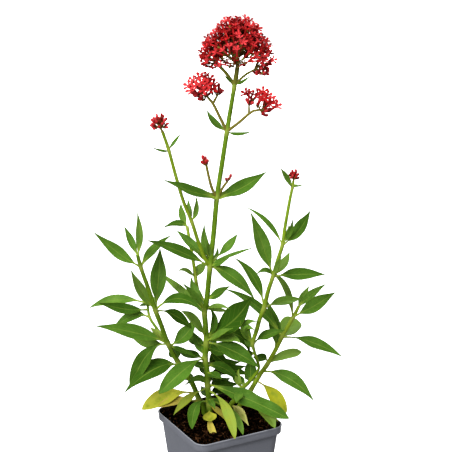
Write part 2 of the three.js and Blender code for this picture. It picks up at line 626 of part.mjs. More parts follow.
const group = new THREE.Group();
const shoots = [
  { name: 'main_shoot', stem: MAIN_SHOOT, branches: [TALL_BRANCH, SHORT_BRANCH] },
  { name: 'left_shoot', stem: LEFT_SHOOT, branches: [LEFT_BRANCH] },
  { name: 'right_shoot', stem: RIGHT_SHOOT, branches: [] },
  { name: 'flowering_shoot', stem: FLOWERING_SHOOT, branches: [] },
];
const socket = { rooted: true, extra: GAP };

addNode(group, 'pot', potBody(), COLOURS.pot, 0.5);
addNode(group, 'compost', compostBody(shoots.map(({ stem }) => solid(stemLimb(stem, socket)))),
  COLOURS.compost, 0.95);
for (const { name, stem, branches } of shoots) {
  const parts = [shootSolids(stem, { rooted: true }), ...branches.map((branch) => shootSolids(branch))];
  addNode(group, name, join(parts.flat()), COLOURS.leaf);
}
for (const leaf of FADED_LEAVES) {
  const blade = solid(leafBlade(leaf.on, leaf));
  addNode(group, leaf.name, blade.subtract(solid(stemLimb(leaf.on, socket))), leaf.colour);
}
for (const head of HEADS) {
  const body = join(headSolids(head)).subtract(solid(stemLimb(head.on, { extra: GAP })));
  addNode(group, head.name, body, COLOURS.flower);
}

export default group;
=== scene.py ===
# %% [markdown]
# # A red valerian in a square pot
# Red valerian is a garden perennial: stiff stems with pairs of pointed leaves, and domes
# of small five-lobed red flowers on top. This lesson dresses a finished CAD model of the
# potted plant. The CAD model fixes every place and size, and Blender adds what makes it
# look alive: rounded stems, folded blades with veins, petals, crumbs and finishes.

# %% Tools and the fixed frame
import math
import random
import bmesh
import bpy
import numpy as np
from mathutils import Matrix, Quaternion, Vector, noise


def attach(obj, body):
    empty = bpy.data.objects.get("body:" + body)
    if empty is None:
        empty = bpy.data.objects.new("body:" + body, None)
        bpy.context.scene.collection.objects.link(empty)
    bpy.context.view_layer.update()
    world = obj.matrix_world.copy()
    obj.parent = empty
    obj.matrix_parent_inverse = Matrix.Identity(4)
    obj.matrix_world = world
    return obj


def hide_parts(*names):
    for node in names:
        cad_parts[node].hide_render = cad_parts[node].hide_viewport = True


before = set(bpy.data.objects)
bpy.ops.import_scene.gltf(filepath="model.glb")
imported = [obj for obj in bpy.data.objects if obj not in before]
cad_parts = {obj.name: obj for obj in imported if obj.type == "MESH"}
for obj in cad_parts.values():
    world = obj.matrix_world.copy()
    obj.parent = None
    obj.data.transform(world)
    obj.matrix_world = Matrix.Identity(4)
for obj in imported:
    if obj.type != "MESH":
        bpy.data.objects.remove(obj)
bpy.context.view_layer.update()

# %% [markdown]
# ## The view
# The photo was taken from a little above, across one corner of the pot. A camera that
# stands where the photographer's stood lets every leaf be placed by what the photo shows:
# a column and a row in a picture 452 wide, and how far the point stands before the pot's
# middle, in millimetres.

# %% The camera's numbers
PICTURE = 452
TURN = math.radians(28.5)
PITCH = math.radians(19.43)
DISTANCE = 1.45
EYE_HEIGHT = 0.7933
SIDE_STEP = 0.006
FOCAL = 1734.4
UP = Vector((0, 0, 1))
ACROSS = Vector((math.cos(TURN), -math.sin(TURN), 0))
AWAY = Vector((math.sin(TURN), math.cos(TURN), 0))
SIGHT = AWAY * math.cos(PITCH) - UP * math.sin(PITCH)
SCREEN_UP = AWAY * math.sin(PITCH) + UP * math.cos(PITCH)
EYE = AWAY * -DISTANCE + ACROSS * SIDE_STEP + UP * EYE_HEIGHT


def seen(column, row, near):
    """The place in metres that the photo shows at a column and row, near mm before the middle."""
    ray = SIGHT + ACROSS * ((column - PICTURE / 2) / FOCAL) + SCREEN_UP * ((PICTURE / 2 - row) / FOCAL)
    return EYE + ray * ((DISTANCE - near / 1000) / ray.dot(AWAY))


# %% The camera
bpy.ops.object.select_all(action="DESELECT")
bpy.ops.object.camera_add(location=EYE, rotation=(math.pi / 2 - PITCH, 0, -TURN))
camera = bpy.context.object
camera.name = "photo_view"
camera.data.sensor_width = 36
camera.data.lens = FOCAL * camera.data.sensor_width / PICTURE
camera.data.clip_start = 0.05
camera.data.clip_end = 50
bpy.context.scene.camera = camera
print("lens in mm:", round(camera.data.lens, 1))

# %% [markdown]
# ## Soft studio light on a white floor
# The photo's ground is pure white, but its lower leaves are deep in shade, so little light
# came up from below. A dim sky lights all sides, one large lamp at the upper left makes
# the pot's left side the lighter one, and a wide one overhead lights the leaves' tops. A
# third, behind the plant, is for the views from the back. The floor glows by itself, and
# is kept from throwing its light back up at the plant. The plain colour transform keeps
# greens and reds as strong as the photo shows them.

# %% Sky, lamps and floor
scene = bpy.context.scene
scene.view_settings.view_transform = "Standard"
sky = bpy.data.worlds.new("white_tent")
sky.use_nodes = True
sky.node_tree.nodes["Background"].inputs["Color"].default_value = (1, 1, 1, 1)
sky.node_tree.nodes["Background"].inputs["Strength"].default_value = 0.36
scene.world = sky


def soft_lamp(name, place, aim, size, power):
    """A square lamp that faces its aim."""
    bpy.ops.object.light_add(type="AREA", location=place)
    lamp = bpy.context.object
    lamp.name = name
    lamp.data.shape = "SQUARE"
    lamp.data.size = size
    lamp.data.energy = power
    lamp.rotation_euler = (Vector(aim) - Vector(place)).to_track_quat("-Z", "Y").to_euler()
    return lamp


soft_lamp("key_lamp", (-1.5, -0.75, 1.25), (0, 0, 0.25), 0.8, 42)
soft_lamp("top_lamp", (0.1, -0.5, 1.9), (0, 0, 0.2), 1.5, 36)
soft_lamp("back_lamp", (0.9, 1.5, 0.6), (0, 0, 0.25), 1.2, 24)

# %% [markdown]
# ## Sums on sockets
# A material's pattern is a row of small sums on positions and noises. Wiring each sum by
# hand hides what it says, so one small class wraps a socket and lets Python's own signs
# add the Math nodes. Its node method adds any other kind of node.

# %% A socket that can be added, taken away and multiplied
class Wire:
    """A socket of a material, or its bare node tree, that sums can be written with."""

    def __init__(self, tree, socket=None):
        self.tree = tree
        self.socket = socket

    def node(self, kind, settings=None, sockets=None, output=0):
        """Any node: its settings are set first, then its sockets get values or links."""
        made = self.tree.nodes.new(kind)
        for name, value in (settings or {}).items():
            if name == "stops":
                while len(made.color_ramp.elements) < len(value):
                    made.color_ramp.elements.new(1)
                for element, (position, colour) in zip(made.color_ramp.elements, value):
                    element.position = position
                    element.color = colour
            else:
                setattr(made, name, value)
        for name, value in (sockets or {}).items():
            if isinstance(value, Wire):
                self.tree.links.new(value.socket, made.inputs[name])
            else:
                made.inputs[name].default_value = value
        return Wire(self.tree, made.outputs[output])

    def math(self, operation, first, second=0.0):
        return self.node("ShaderNodeMath", {"operation": operation}, {0: first, 1: second})

    def __add__(self, other):
        return self.math("ADD", self, other)

    def __radd__(self, other):
        return self.math("ADD", other, self)

    def __sub__(self, other):
        return self.math("SUBTRACT", self, other)

    def __rsub__(self, other):
        return self.math("SUBTRACT", other, self)

    def __mul__(self, other):
        return self.math("MULTIPLY", self, other)

    def __rmul__(self, other):
        return self.math("MULTIPLY", other, self)

    def __truediv__(self, other):
        return self.math("DIVIDE", self, other)

    def __pow__(self, other):
        return self.math("POWER", self, other)

    def __abs__(self):
        return self.math("ABSOLUTE", self)

    def part(self):
        """What is left after the whole number is taken away."""
        return self.math("FRACT", self)

    def between(self, low, high):
        """0 below low, 1 above high, and a smooth rise between them."""
        return self.node("ShaderNodeMapRange", {"interpolation_type": "SMOOTHSTEP"},
                         {"Value": self, "From Min": low, "From Max": high})


def new_material(name, roughness=0.5, **constants):
    """A material with the values that are the same all over it, and its bare tree."""
    material = bpy.data.materials.new(name)
    material.use_nodes = True
    shader = material.node_tree.nodes["Principled BSDF"]
    shader.inputs["Roughness"].default_value = roughness
    for socket, value in constants.items():
        shader.inputs[socket.replace("_", " ")].default_value = value
    return material, Wire(material.node_tree)


def feed(material, socket, value):
    """Links a wire to one of the material's own sockets."""
    shader = material.node_tree.nodes["Principled BSDF"]
    material.node_tree.links.new(value.socket, shader.inputs[socket])


def spots(tree, scale, detail=3.0, stretch=(1, 1, 1)):
    """A noise from 0 to 1 on the piece's own place, with scale spots to a metre."""
    place = tree.node("ShaderNodeTexCoord", output="Object")
    turned = tree.node("ShaderNodeMapping", None, {"Vector": place, "Scale": stretch})
    return tree.node("ShaderNodeTexNoise", None, {"Vector": turned, "Scale": scale, "Detail": detail})


def colour_between(tree, share, first, second):
    """A colour on the way from first to second."""
    return tree.node("ShaderNodeMix", {"data_type": "RGBA"}, {0: share, 6: first, 7: second}, output=2)


def bumps(tree, height, depth, strength=1.0):
    """A normal from a height of 0 to 1 that stands depth metres high."""
    return tree.node("ShaderNodeBump", None, {"Height": height, "Distance": depth, "Strength": strength})


# %% The floor
def floor_material():
    material, tree = new_material("white_floor", 0.9)
    cloud = spots(tree, 2.0)
    feed(material, "Base Color", colour_between(tree, cloud, (0.93, 0.93, 0.93, 1), (0.96, 0.96, 0.96, 1)))
    shader = material.node_tree.nodes["Principled BSDF"]
    shader.inputs["Emission Color"].default_value = (1, 1, 1, 1)
    shader.inputs["Emission Strength"].default_value = 0.75
    return material


bpy.ops.object.select_all(action="DESELECT")
bpy.ops.mesh.primitive_circle_add(vertices=64, radius=12, fill_type="NGON", location=(0, 0, -0.0005))
floor = bpy.context.object
floor.name = "floor"
floor.data.materials.append(floor_material())
floor.visible_diffuse = False
floor.visible_glossy = False

# %% [markdown]
# ## Working by hand, in code
# Every new shape starts from a primitive in edit mode. Operators act on whatever is
# selected, so each helper first clears the selection and then picks points or faces by
# their place, as one would with the mouse.

# %% Hand tools
def clear_selection():
    if bpy.context.object and bpy.context.object.mode != "OBJECT":
        bpy.ops.object.mode_set(mode="OBJECT")
    bpy.ops.object.select_all(action="DESELECT")


def begin(name, add_primitive, **settings):
    """Adds a primitive and opens it in edit mode, with nothing selected."""
    clear_selection()
    add_primitive(**settings)
    piece = bpy.context.object
    piece.name = piece.data.name = name
    bpy.ops.object.transform_apply(location=True, rotation=True, scale=True)
    bpy.ops.object.mode_set(mode="EDIT")
    bpy.ops.mesh.select_all(action="DESELECT")
    return piece


def pick_points(piece, test):
    """Selects the points whose place passes the test."""
    bpy.ops.mesh.select_mode(type="VERT")
    bpy.ops.mesh.select_all(action="DESELECT")
    shape = bmesh.from_edit_mesh(piece.data)
    for point in shape.verts:
        if test(point.co):
            point.select_set(True)
    shape.select_flush(True)
    bmesh.update_edit_mesh(piece.data)


def pick_faces(piece, test):
    """Selects the faces whose middle and normal pass the test."""
    bpy.ops.mesh.select_mode(type="FACE")
    bpy.ops.mesh.select_all(action="DESELECT")
    shape = bmesh.from_edit_mesh(piece.data)
    shape.normal_update()
    for face in shape.faces:
        if test(face.calc_center_median(), face.normal):
            face.select_set(True)
    bmesh.update_edit_mesh(piece.data)


def pull(move, scale=(1, 1, 1), about=(0, 0, 0)):
    """Extrudes what is selected by move, then scales the new end about a point."""
    bpy.ops.mesh.extrude_region_move(TRANSFORM_OT_translate={"value": move})
    bpy.ops.transform.resize(value=scale, center_override=about)


def end_edit(piece, outward=True):
    """Merges doubles, turns the faces outwards and goes back to object mode."""
    bpy.ops.mesh.select_all(action="SELECT")
    bpy.ops.mesh.remove_doubles(threshold=1e-6)
    if outward:
        bpy.ops.mesh.normals_make_consistent(inside=False)
    bpy.ops.object.mode_set(mode="OBJECT")
    piece.select_set(False)


def apply_modifier(piece, kind, **settings):
    """Adds a modifier, sets it and applies it."""
    clear_selection()
    modifier = piece.modifiers.new(kind.title(), kind)
    for name, value in settings.items():
        setattr(modifier, name, value)
    piece.select_set(True)
    bpy.context.view_layer.objects.active = piece
    bpy.ops.object.modifier_apply(modifier=modifier.name)


def smooth(piece, degrees=35):
    """Rounds the shading where faces meet at less than an angle."""
    clear_selection()
    piece.select_set(True)
    bpy.context.view_layer.objects.active = piece
    bpy.ops.object.shade_smooth_by_angle(angle=math.radians(degrees))


def set_apart(piece):
    """Keeps a pattern piece out of the scene until copies are made of it."""
    for collection in list(piece.users_collection):
        collection.objects.unlink(piece)


def open_edges(piece):
    """How many edges don't have a face on each side."""
    shape = bmesh.new()
    shape.from_mesh(piece.data)
    count = sum(not edge.is_manifold for edge in shape.edges)
    shape.free()
    return count


def settle(piece, nodes):
    """The piece rides on the plant and stands for its CAD nodes, which are hidden."""
    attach(piece, "root")
    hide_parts(*nodes)
    print(f"{piece.name}: {len(piece.data.polygons)} faces, {open_edges(piece)} open edges")


# %% [markdown]
# ## The pot
# The pot is one thin plastic moulding: a tapered square body, a step outwards, a rim band
# and a small rolled lip. Extruding one rounded square over and over, up the outside and
# down the inside, makes it as one wall of real thickness. That is quicker than hollowing
# a block, and every ring can be set to its measured size.

# %% Grey moulded plastic
def pot_material(name, painted_shade):
    """The plastic, clean outside, with a painted highlight on the lip and painted shade on the inner wall."""
    material, tree = new_material(name, 0.6, Specular_IOR_Level=0.25 - 0.2 * painted_shade)
    cloud = spots(tree, 55, 4)
    grain = spots(tree, 900, 2)
    streak = spots(tree, 160, 3, (1, 1, 0.12))
    dust = spots(tree, 260, 5).between(0.62, 0.74)
    height = tree.node("ShaderNodeSeparateXYZ", None,
                       {0: tree.node("ShaderNodeTexCoord", output="Object")}, output="Z")
    lip = height.between(0.0942, 0.095)
    grey = colour_between(tree, cloud * 0.6 + streak * 0.4, (0.14, 0.148, 0.175, 1), (0.2, 0.207, 0.238, 1))
    dusted = colour_between(tree, dust * 0.3, grey, (0.27, 0.27, 0.27, 1))
    # Painted highlight: the top of the lip is made a lighter grey, as light from above falls on it.
    lip_highlighted = colour_between(tree, lip * 0.25, dusted, (0.34, 0.345, 0.36, 1))
    # Painted shade: the inner wall above the compost is made nearly black, as the shade inside the rim is.
    inner_shade_mask = (grain * 0.4 + 0.8).between(0, 1) * painted_shade
    feed(material, "Base Color", colour_between(tree, inner_shade_mask, lip_highlighted, (0.012, 0.008, 0.005, 1)))
    feed(material, "Roughness", 0.5 + 0.25 * cloud)
    feed(material, "Normal", bumps(tree, grain * 0.7 + cloud, 0.00025, 0.6))
    return material


# %% The pot's rings, in millimetres: height and size across
POT_FOOT = 64.0
POT_RINGS = [
    (0.8, 65), (42, 74.2), (84.6, 83.4), (85.3, 83.9), (87.2, 88.2), (87.8, 88.7), (92.9, 89),
    (93.3, 89.7), (94.4, 90), (95, 89.5), (95, 88.4), (94.5, 87.6), (88.4, 86), (85, 81.1),
    (2.4, 63.3), (2, 62.4),
]
pot = begin("pot_shell", bpy.ops.mesh.primitive_plane_add, size=POT_FOOT / 1000)
pick_points(pot, lambda place: True)
bpy.ops.mesh.bevel(offset=POT_FOOT * 0.117 / 1000, segments=7, affect="VERTICES")
bpy.ops.mesh.select_mode(type="FACE")
bpy.ops.mesh.select_all(action="SELECT")
height, size = 0.0, POT_FOOT
for next_height, next_size in POT_RINGS:
    share = next_size / size
    pull((0, 0, (next_height - height) / 1000), (share, share, 1))
    height, size = next_height, next_size
end_edit(pot)
smooth(pot, 28)
print("pot:", len(pot.data.polygons), "faces,", open_edges(pot), "open edges")

# %% Four drain holes, cut through the floor
for x in (-1, 1):
    for y in (-1, 1):
        drill = begin("drill", bpy.ops.mesh.primitive_cylinder_add, vertices=24, radius=0.0035,
                      depth=0.008, location=(x * 0.0215, y * 0.0215, 0.001))
        end_edit(drill)
        apply_modifier(pot, "BOOLEAN", operation="DIFFERENCE", object=drill, solver="EXACT")
        bpy.data.objects.remove(drill)
pot.data.materials.append(pot_material("grey_moulded_plastic", 0))
pot.data.materials.append(pot_material("painted_shade_plastic", 1))
# Inner faces above the compost take the second finish, the painted shade.
inner = 0
for face in pot.data.polygons:
    looks_in = face.normal.x * face.center.x + face.normal.y * face.center.y < 0
    if looks_in and face.center.z > 0.08:
        face.material_index = 1
        inner += 1
print("soiled faces inside the pot:", inner)
settle(pot, ["pot"])

# %% [markdown]
# ## The compost
# Damp compost is nearly black, with crumbs, bark chips and fibres on top. The bed is a
# fine grid whose points are moved by a noise, then pulled down as a block to the pot's
# floor. The loose bits are three small lumps, modelled once and strewn by the hundred.

# %% Gathering copies into one piece
def gather(name, meshes, materials):
    """Makes one piece out of many small meshes, with their attributes."""
    shape = bmesh.new()
    for mesh in meshes:
        shape.from_mesh(mesh)
        bpy.data.meshes.remove(mesh)
    made = bpy.data.meshes.new(name)
    shape.to_mesh(made)
    shape.free()
    for material in materials:
        made.materials.append(material)
    piece = bpy.data.objects.new(name, made)
    scene.collection.objects.link(piece)
    return piece


def points_of(mesh):
    places = np.empty(len(mesh.vertices) * 3)
    mesh.vertices.foreach_get("co", places)
    return places.reshape(-1, 3)


def moved_copy(pattern, places, **marks):
    """A copy of a pattern with its points at new places, and a number for each mark."""
    mesh = pattern.data.copy()
    mesh.vertices.foreach_set("co", np.asarray(places, float).ravel())
    for mark, value in marks.items():
        layer = mesh.attributes.get(mark) or mesh.attributes.new(mark, "FLOAT", "POINT")
        values = np.broadcast_to(np.asarray(value, float), len(mesh.vertices))
        layer.data.foreach_set("value", np.ascontiguousarray(values))
    return mesh


def placed_copy(pattern, matrix, **marks):
    """A copy of a pattern, turned and moved by a matrix."""
    places = points_of(pattern.data) @ np.array(matrix.to_3x3()).T + np.array(matrix.translation)
    return moved_copy(pattern, places, **marks)


# %% Damp compost
def compost_material(name, dark, light):
    material, tree = new_material(name, 0.9, Specular_IOR_Level=0.0)
    tone = tree.node("ShaderNodeAttribute", {"attribute_name": "tone"}, output="Fac")
    lumps = spots(tree, 420, 5)
    brown = colour_between(tree, (tone * 0.75 + lumps * 0.35).between(0.15, 1.0), dark, light)
    feed(material, "Base Color", brown)
    feed(material, "Roughness", 0.95 - 0.2 * lumps)
    feed(material, "Normal", bumps(tree, spots(tree, 1500, 4), 0.0006))
    return material


compost_dark = compost_material("damp_compost", (0.0008, 0.0005, 0.0003, 1), (0.006, 0.0035, 0.002, 1))
compost_bits = compost_material("bark_and_crumbs", (0.001, 0.0007, 0.0004, 1), (0.12, 0.05, 0.02, 1))

# %% The compost bed
BED_LEVEL = 0.0932
BED_HALF = 0.0434
BED_CORNER = 0.0096
BED_SHOULDER = 0.962
BED_FOOT = 0.717


def bed_height(x, y):
    """The height of the compost's lumpy surface."""
    swell = noise.fractal(Vector((x * 45, y * 45, 3.1)), 0.9, 2.0, 3)
    clods = noise.fractal(Vector((x * 230, y * 230, 7.7)), 0.8, 2.0, 3)
    wall = max(abs(x), abs(y)) / BED_HALF
    return BED_LEVEL + 0.0011 * swell + 0.0009 * clods - 0.0009 * wall ** 8


def inside_corner(x, y):
    """Draws a point in a square corner back to the corner's rounding."""
    middle = BED_HALF - BED_CORNER
    out = Vector((max(abs(x) - middle, 0), max(abs(y) - middle, 0)))
    if out.x > 0 and out.y > 0:
        longest = max(out.x, out.y)
        out = out.normalized() * longest
        return math.copysign(middle + out.x, x), math.copysign(middle + out.y, y)
    return x, y


bed = begin("compost_bed", bpy.ops.mesh.primitive_grid_add, x_subdivisions=96, y_subdivisions=96,
            size=2 * BED_HALF, location=(0, 0, BED_LEVEL))
pick_faces(bed, lambda middle, normal: True)
bpy.ops.mesh.select_mode(type="EDGE")
bpy.ops.mesh.region_to_loop()
pull((0, 0, -0.004), (BED_SHOULDER, BED_SHOULDER, 1))
pull((0, 0, -0.0867), (BED_FOOT / BED_SHOULDER, BED_FOOT / BED_SHOULDER, 1))
bpy.ops.mesh.edge_face_add()
end_edit(bed)
for point in bed.data.vertices:
    sunk = BED_LEVEL - point.co.z
    size = 1 if sunk < 0.001 else BED_SHOULDER if sunk < 0.01 else BED_FOOT
    x, y = inside_corner(point.co.x / size, point.co.y / size)
    point.co = (x * size, y * size, bed_height(x, y) if size == 1 else point.co.z)
bed.data.attributes.new("tone", "FLOAT", "POINT")
bed.data.materials.append(compost_dark)
smooth(bed, 60)
settle(bed, ["compost"])

# %% A crumb, a bark chip and a fibre, modelled once each
def crumb_pattern():
    crumb = begin("crumb", bpy.ops.mesh.primitive_ico_sphere_add, subdivisions=1, radius=0.001)
    pick_points(crumb, lambda place: place.z > 0.0004)
    bpy.ops.transform.resize(value=(1.4, 0.8, 0.6), center_override=(0, 0, 0))
    pick_points(crumb, lambda place: place.x > 0.0005)
    bpy.ops.transform.translate(value=(0.0004, 0.0002, 0))
    end_edit(crumb)
    set_apart(crumb)
    return crumb


def chip_pattern():
    chip = begin("chip", bpy.ops.mesh.primitive_cube_add, size=1, scale=(0.003, 0.0016, 0.0008))
    pick_faces(chip, lambda middle, normal: normal.x > 0.9)
    pull((0.0016, 0.0004, 0.0003), (1, 0.5, 0.6), (0.003, 0, 0))
    pick_faces(chip, lambda middle, normal: normal.x < -0.9)
    pull((-0.0009, 0.0002, 0), (1, 0.6, 0.7), (-0.0024, 0, 0))
    end_edit(chip)
    set_apart(chip)
    return chip


def fibre_pattern():
    fibre = begin("fibre", bpy.ops.mesh.primitive_cone_add, vertices=4, radius1=0.0003,
                  radius2=0.0002, depth=0.003, rotation=(0, math.pi / 2, 0))
    pick_faces(fibre, lambda middle, normal: normal.x > 0.9)
    pull((0.0025, 0.0008, 0.0002), (1, 0.8, 0.8), (0.004, 0.0008, 0))
    pull((0.002, 0.0014, -0.0002), (1, 0.4, 0.4), (0.006, 0.0022, 0))
    end_edit(fibre)
    set_apart(fibre)
    return fibre


# %% Strewing the bits
def strewn(pattern, count, sizes, tones, seed):
    """Copies of a bit that lie on the compost, each turned and sized by chance."""
    chance = random.Random(seed)
    copies = []
    for _ in range(count):
        x, y = (chance.uniform(-1, 1) * (BED_HALF - 0.002) for _ in "xy")
        x, y = inside_corner(x, y)
        lift = 0.0002 * chance.random()
        turn = Quaternion((chance.gauss(0, 0.3), chance.gauss(0, 0.3), 1), chance.uniform(0, math.tau))
        scale = Matrix.Diagonal([chance.uniform(*sizes) for _ in "xyz"] + [1])
        place = Matrix.Translation((x, y, bed_height(x, y) + lift))
        tone = chance.uniform(*tones) ** 2
        copies.append(placed_copy(pattern, place @ turn.to_matrix().to_4x4() @ scale, tone=tone))
    return copies


bits = (strewn(crumb_pattern(), 1500, (0.35, 1.3), (0.0, 0.6), 3)
        + strewn(chip_pattern(), 150, (0.4, 1.15), (0.1, 0.85), 5)
        + strewn(fibre_pattern(), 90, (0.5, 1.3), (0.2, 0.9), 8)
        + strewn(crumb_pattern(), 26, (0.5, 1.1), (0.95, 1.1), 9))
crumbs = gather("compost_bits", bits, [compost_bits])
settle(crumbs, ["compost"])

# %% [markdown]
# ## Stems
# A valerian stem is round and faintly ribbed, and swells where a pair of leaves meets it.
# One straight stalk is extruded with many rings, and each stem is a copy of it that is
# bent along its own line. Bending a copy keeps the ribs running along the stem, which a
# bevelled curve would not give.

# %% The straight stalks
def stalk_pattern(name, sides, rings, rib):
    """A straight stalk from 0 to 1 along X with a radius of 1, with every second line sunk."""
    stalk = begin(name, bpy.ops.mesh.primitive_circle_add, vertices=sides, radius=1,
                  fill_type="NGON", rotation=(0, math.pi / 2, 0))
    bpy.ops.mesh.select_mode(type="FACE")
    bpy.ops.mesh.select_all(action="SELECT")
    for _ in range(rings):
        pull((1 / rings, 0, 0))
    step = math.tau / sides
    pick_points(stalk, lambda place: round(math.atan2(place.z, place.y) / step) % 2 == 1)
    bpy.ops.transform.resize(value=(1, rib, rib), center_override=(0, 0, 0))
    end_edit(stalk)
    smooth(stalk, 60)
    set_apart(stalk)
    return stalk


stem_pattern = stalk_pattern("stem_pattern", 12, 110, 0.93)
twig_pattern = stalk_pattern("twig_pattern", 6, 7, 1.0)
print("stem pattern:", len(stem_pattern.data.polygons), "faces")

# %% Bending a stalk along a line
def smooth_line(points, step=0.0025):
    """Places close together on a smooth line through points, and the share of each."""
    points = [np.array(p, float) for p in points]
    places, shares = [], []
    for index in range(len(points) - 1):
        before = points[max(index - 1, 0)]
        start, end = points[index], points[index + 1]
        after = points[min(index + 2, len(points) - 1)]
        count = max(int(np.linalg.norm(end - start) / step), 2)
        for t in np.arange(count) / count:
            bend = (2 * start + (end - before) * t + (2 * before - 5 * start + 4 * end - after) * t ** 2
                    + (3 * start - before - 3 * end + after) * t ** 3)
            places.append(bend / 2)
            shares.append(index + t)
    places.append(points[-1])
    shares.append(len(points) - 1)
    return np.array(places), np.array(shares) / (len(points) - 1)


def lay_stalk(pattern, line, radii, **marks):
    """A copy of a straight stalk, bent along a line with a radius at each of its places."""
    line = np.asarray(line, float)
    along = np.gradient(line, axis=0)
    along /= np.linalg.norm(along, axis=1)[:, None]
    sides = np.empty_like(line)
    side = np.cross((0, 0, 1) if abs(along[0][2]) < 0.9 else np.array(ACROSS), along[0])
    for index, direction in enumerate(along):
        side = side - direction * side.dot(direction)
        side /= np.linalg.norm(side)
        sides[index] = side
    tops = np.cross(along, sides)
    points = points_of(pattern.data)
    at = np.clip(points[:, 0], 0, 1) * (len(line) - 1)

    def sample(values):
        low = np.clip(at.astype(int), 0, len(line) - 2)
        share = (at - low)[:, None] if values.ndim == 2 else at - low
        return values[low] * (1 - share) + values[low + 1] * share

    reach = sample(np.asarray(radii, float))
    places = (sample(line) + sample(sides) * (points[:, 1] * reach)[:, None]
              + sample(tops) * (points[:, 2] * reach)[:, None])
    marks = {name: sample(value) if np.ndim(value) else value for name, value in marks.items()}
    return moved_copy(pattern, places, **marks)


# %% [markdown]
# ## The plant's plan
# Each stem is a row of points in the photo, and each leaf has its foot on a stem, its tip,
# how far the tip comes nearer than the foot, and its width in millimetres. A leaf that
# bends gets a third point to pass through. A tone from 0 to 1 says how dark or light it is,
# and above 1 how far it has turned yellow. Below 1 the tone is partly the leaf's own green
# and partly painted light and shade: low for leaves deep in the plant, high for some that
# face away from the lamps.

# %% How a leaf is written
def leaf(foot, tip, toward, wide, via=None, tone=0.5, shape=None):
    return {"foot": foot, "tip": tip, "toward": toward, "wide": wide, "via": via, "tone": tone,
            "shape": shape or ("stalked" if wide > 9.4 else "sessile")}


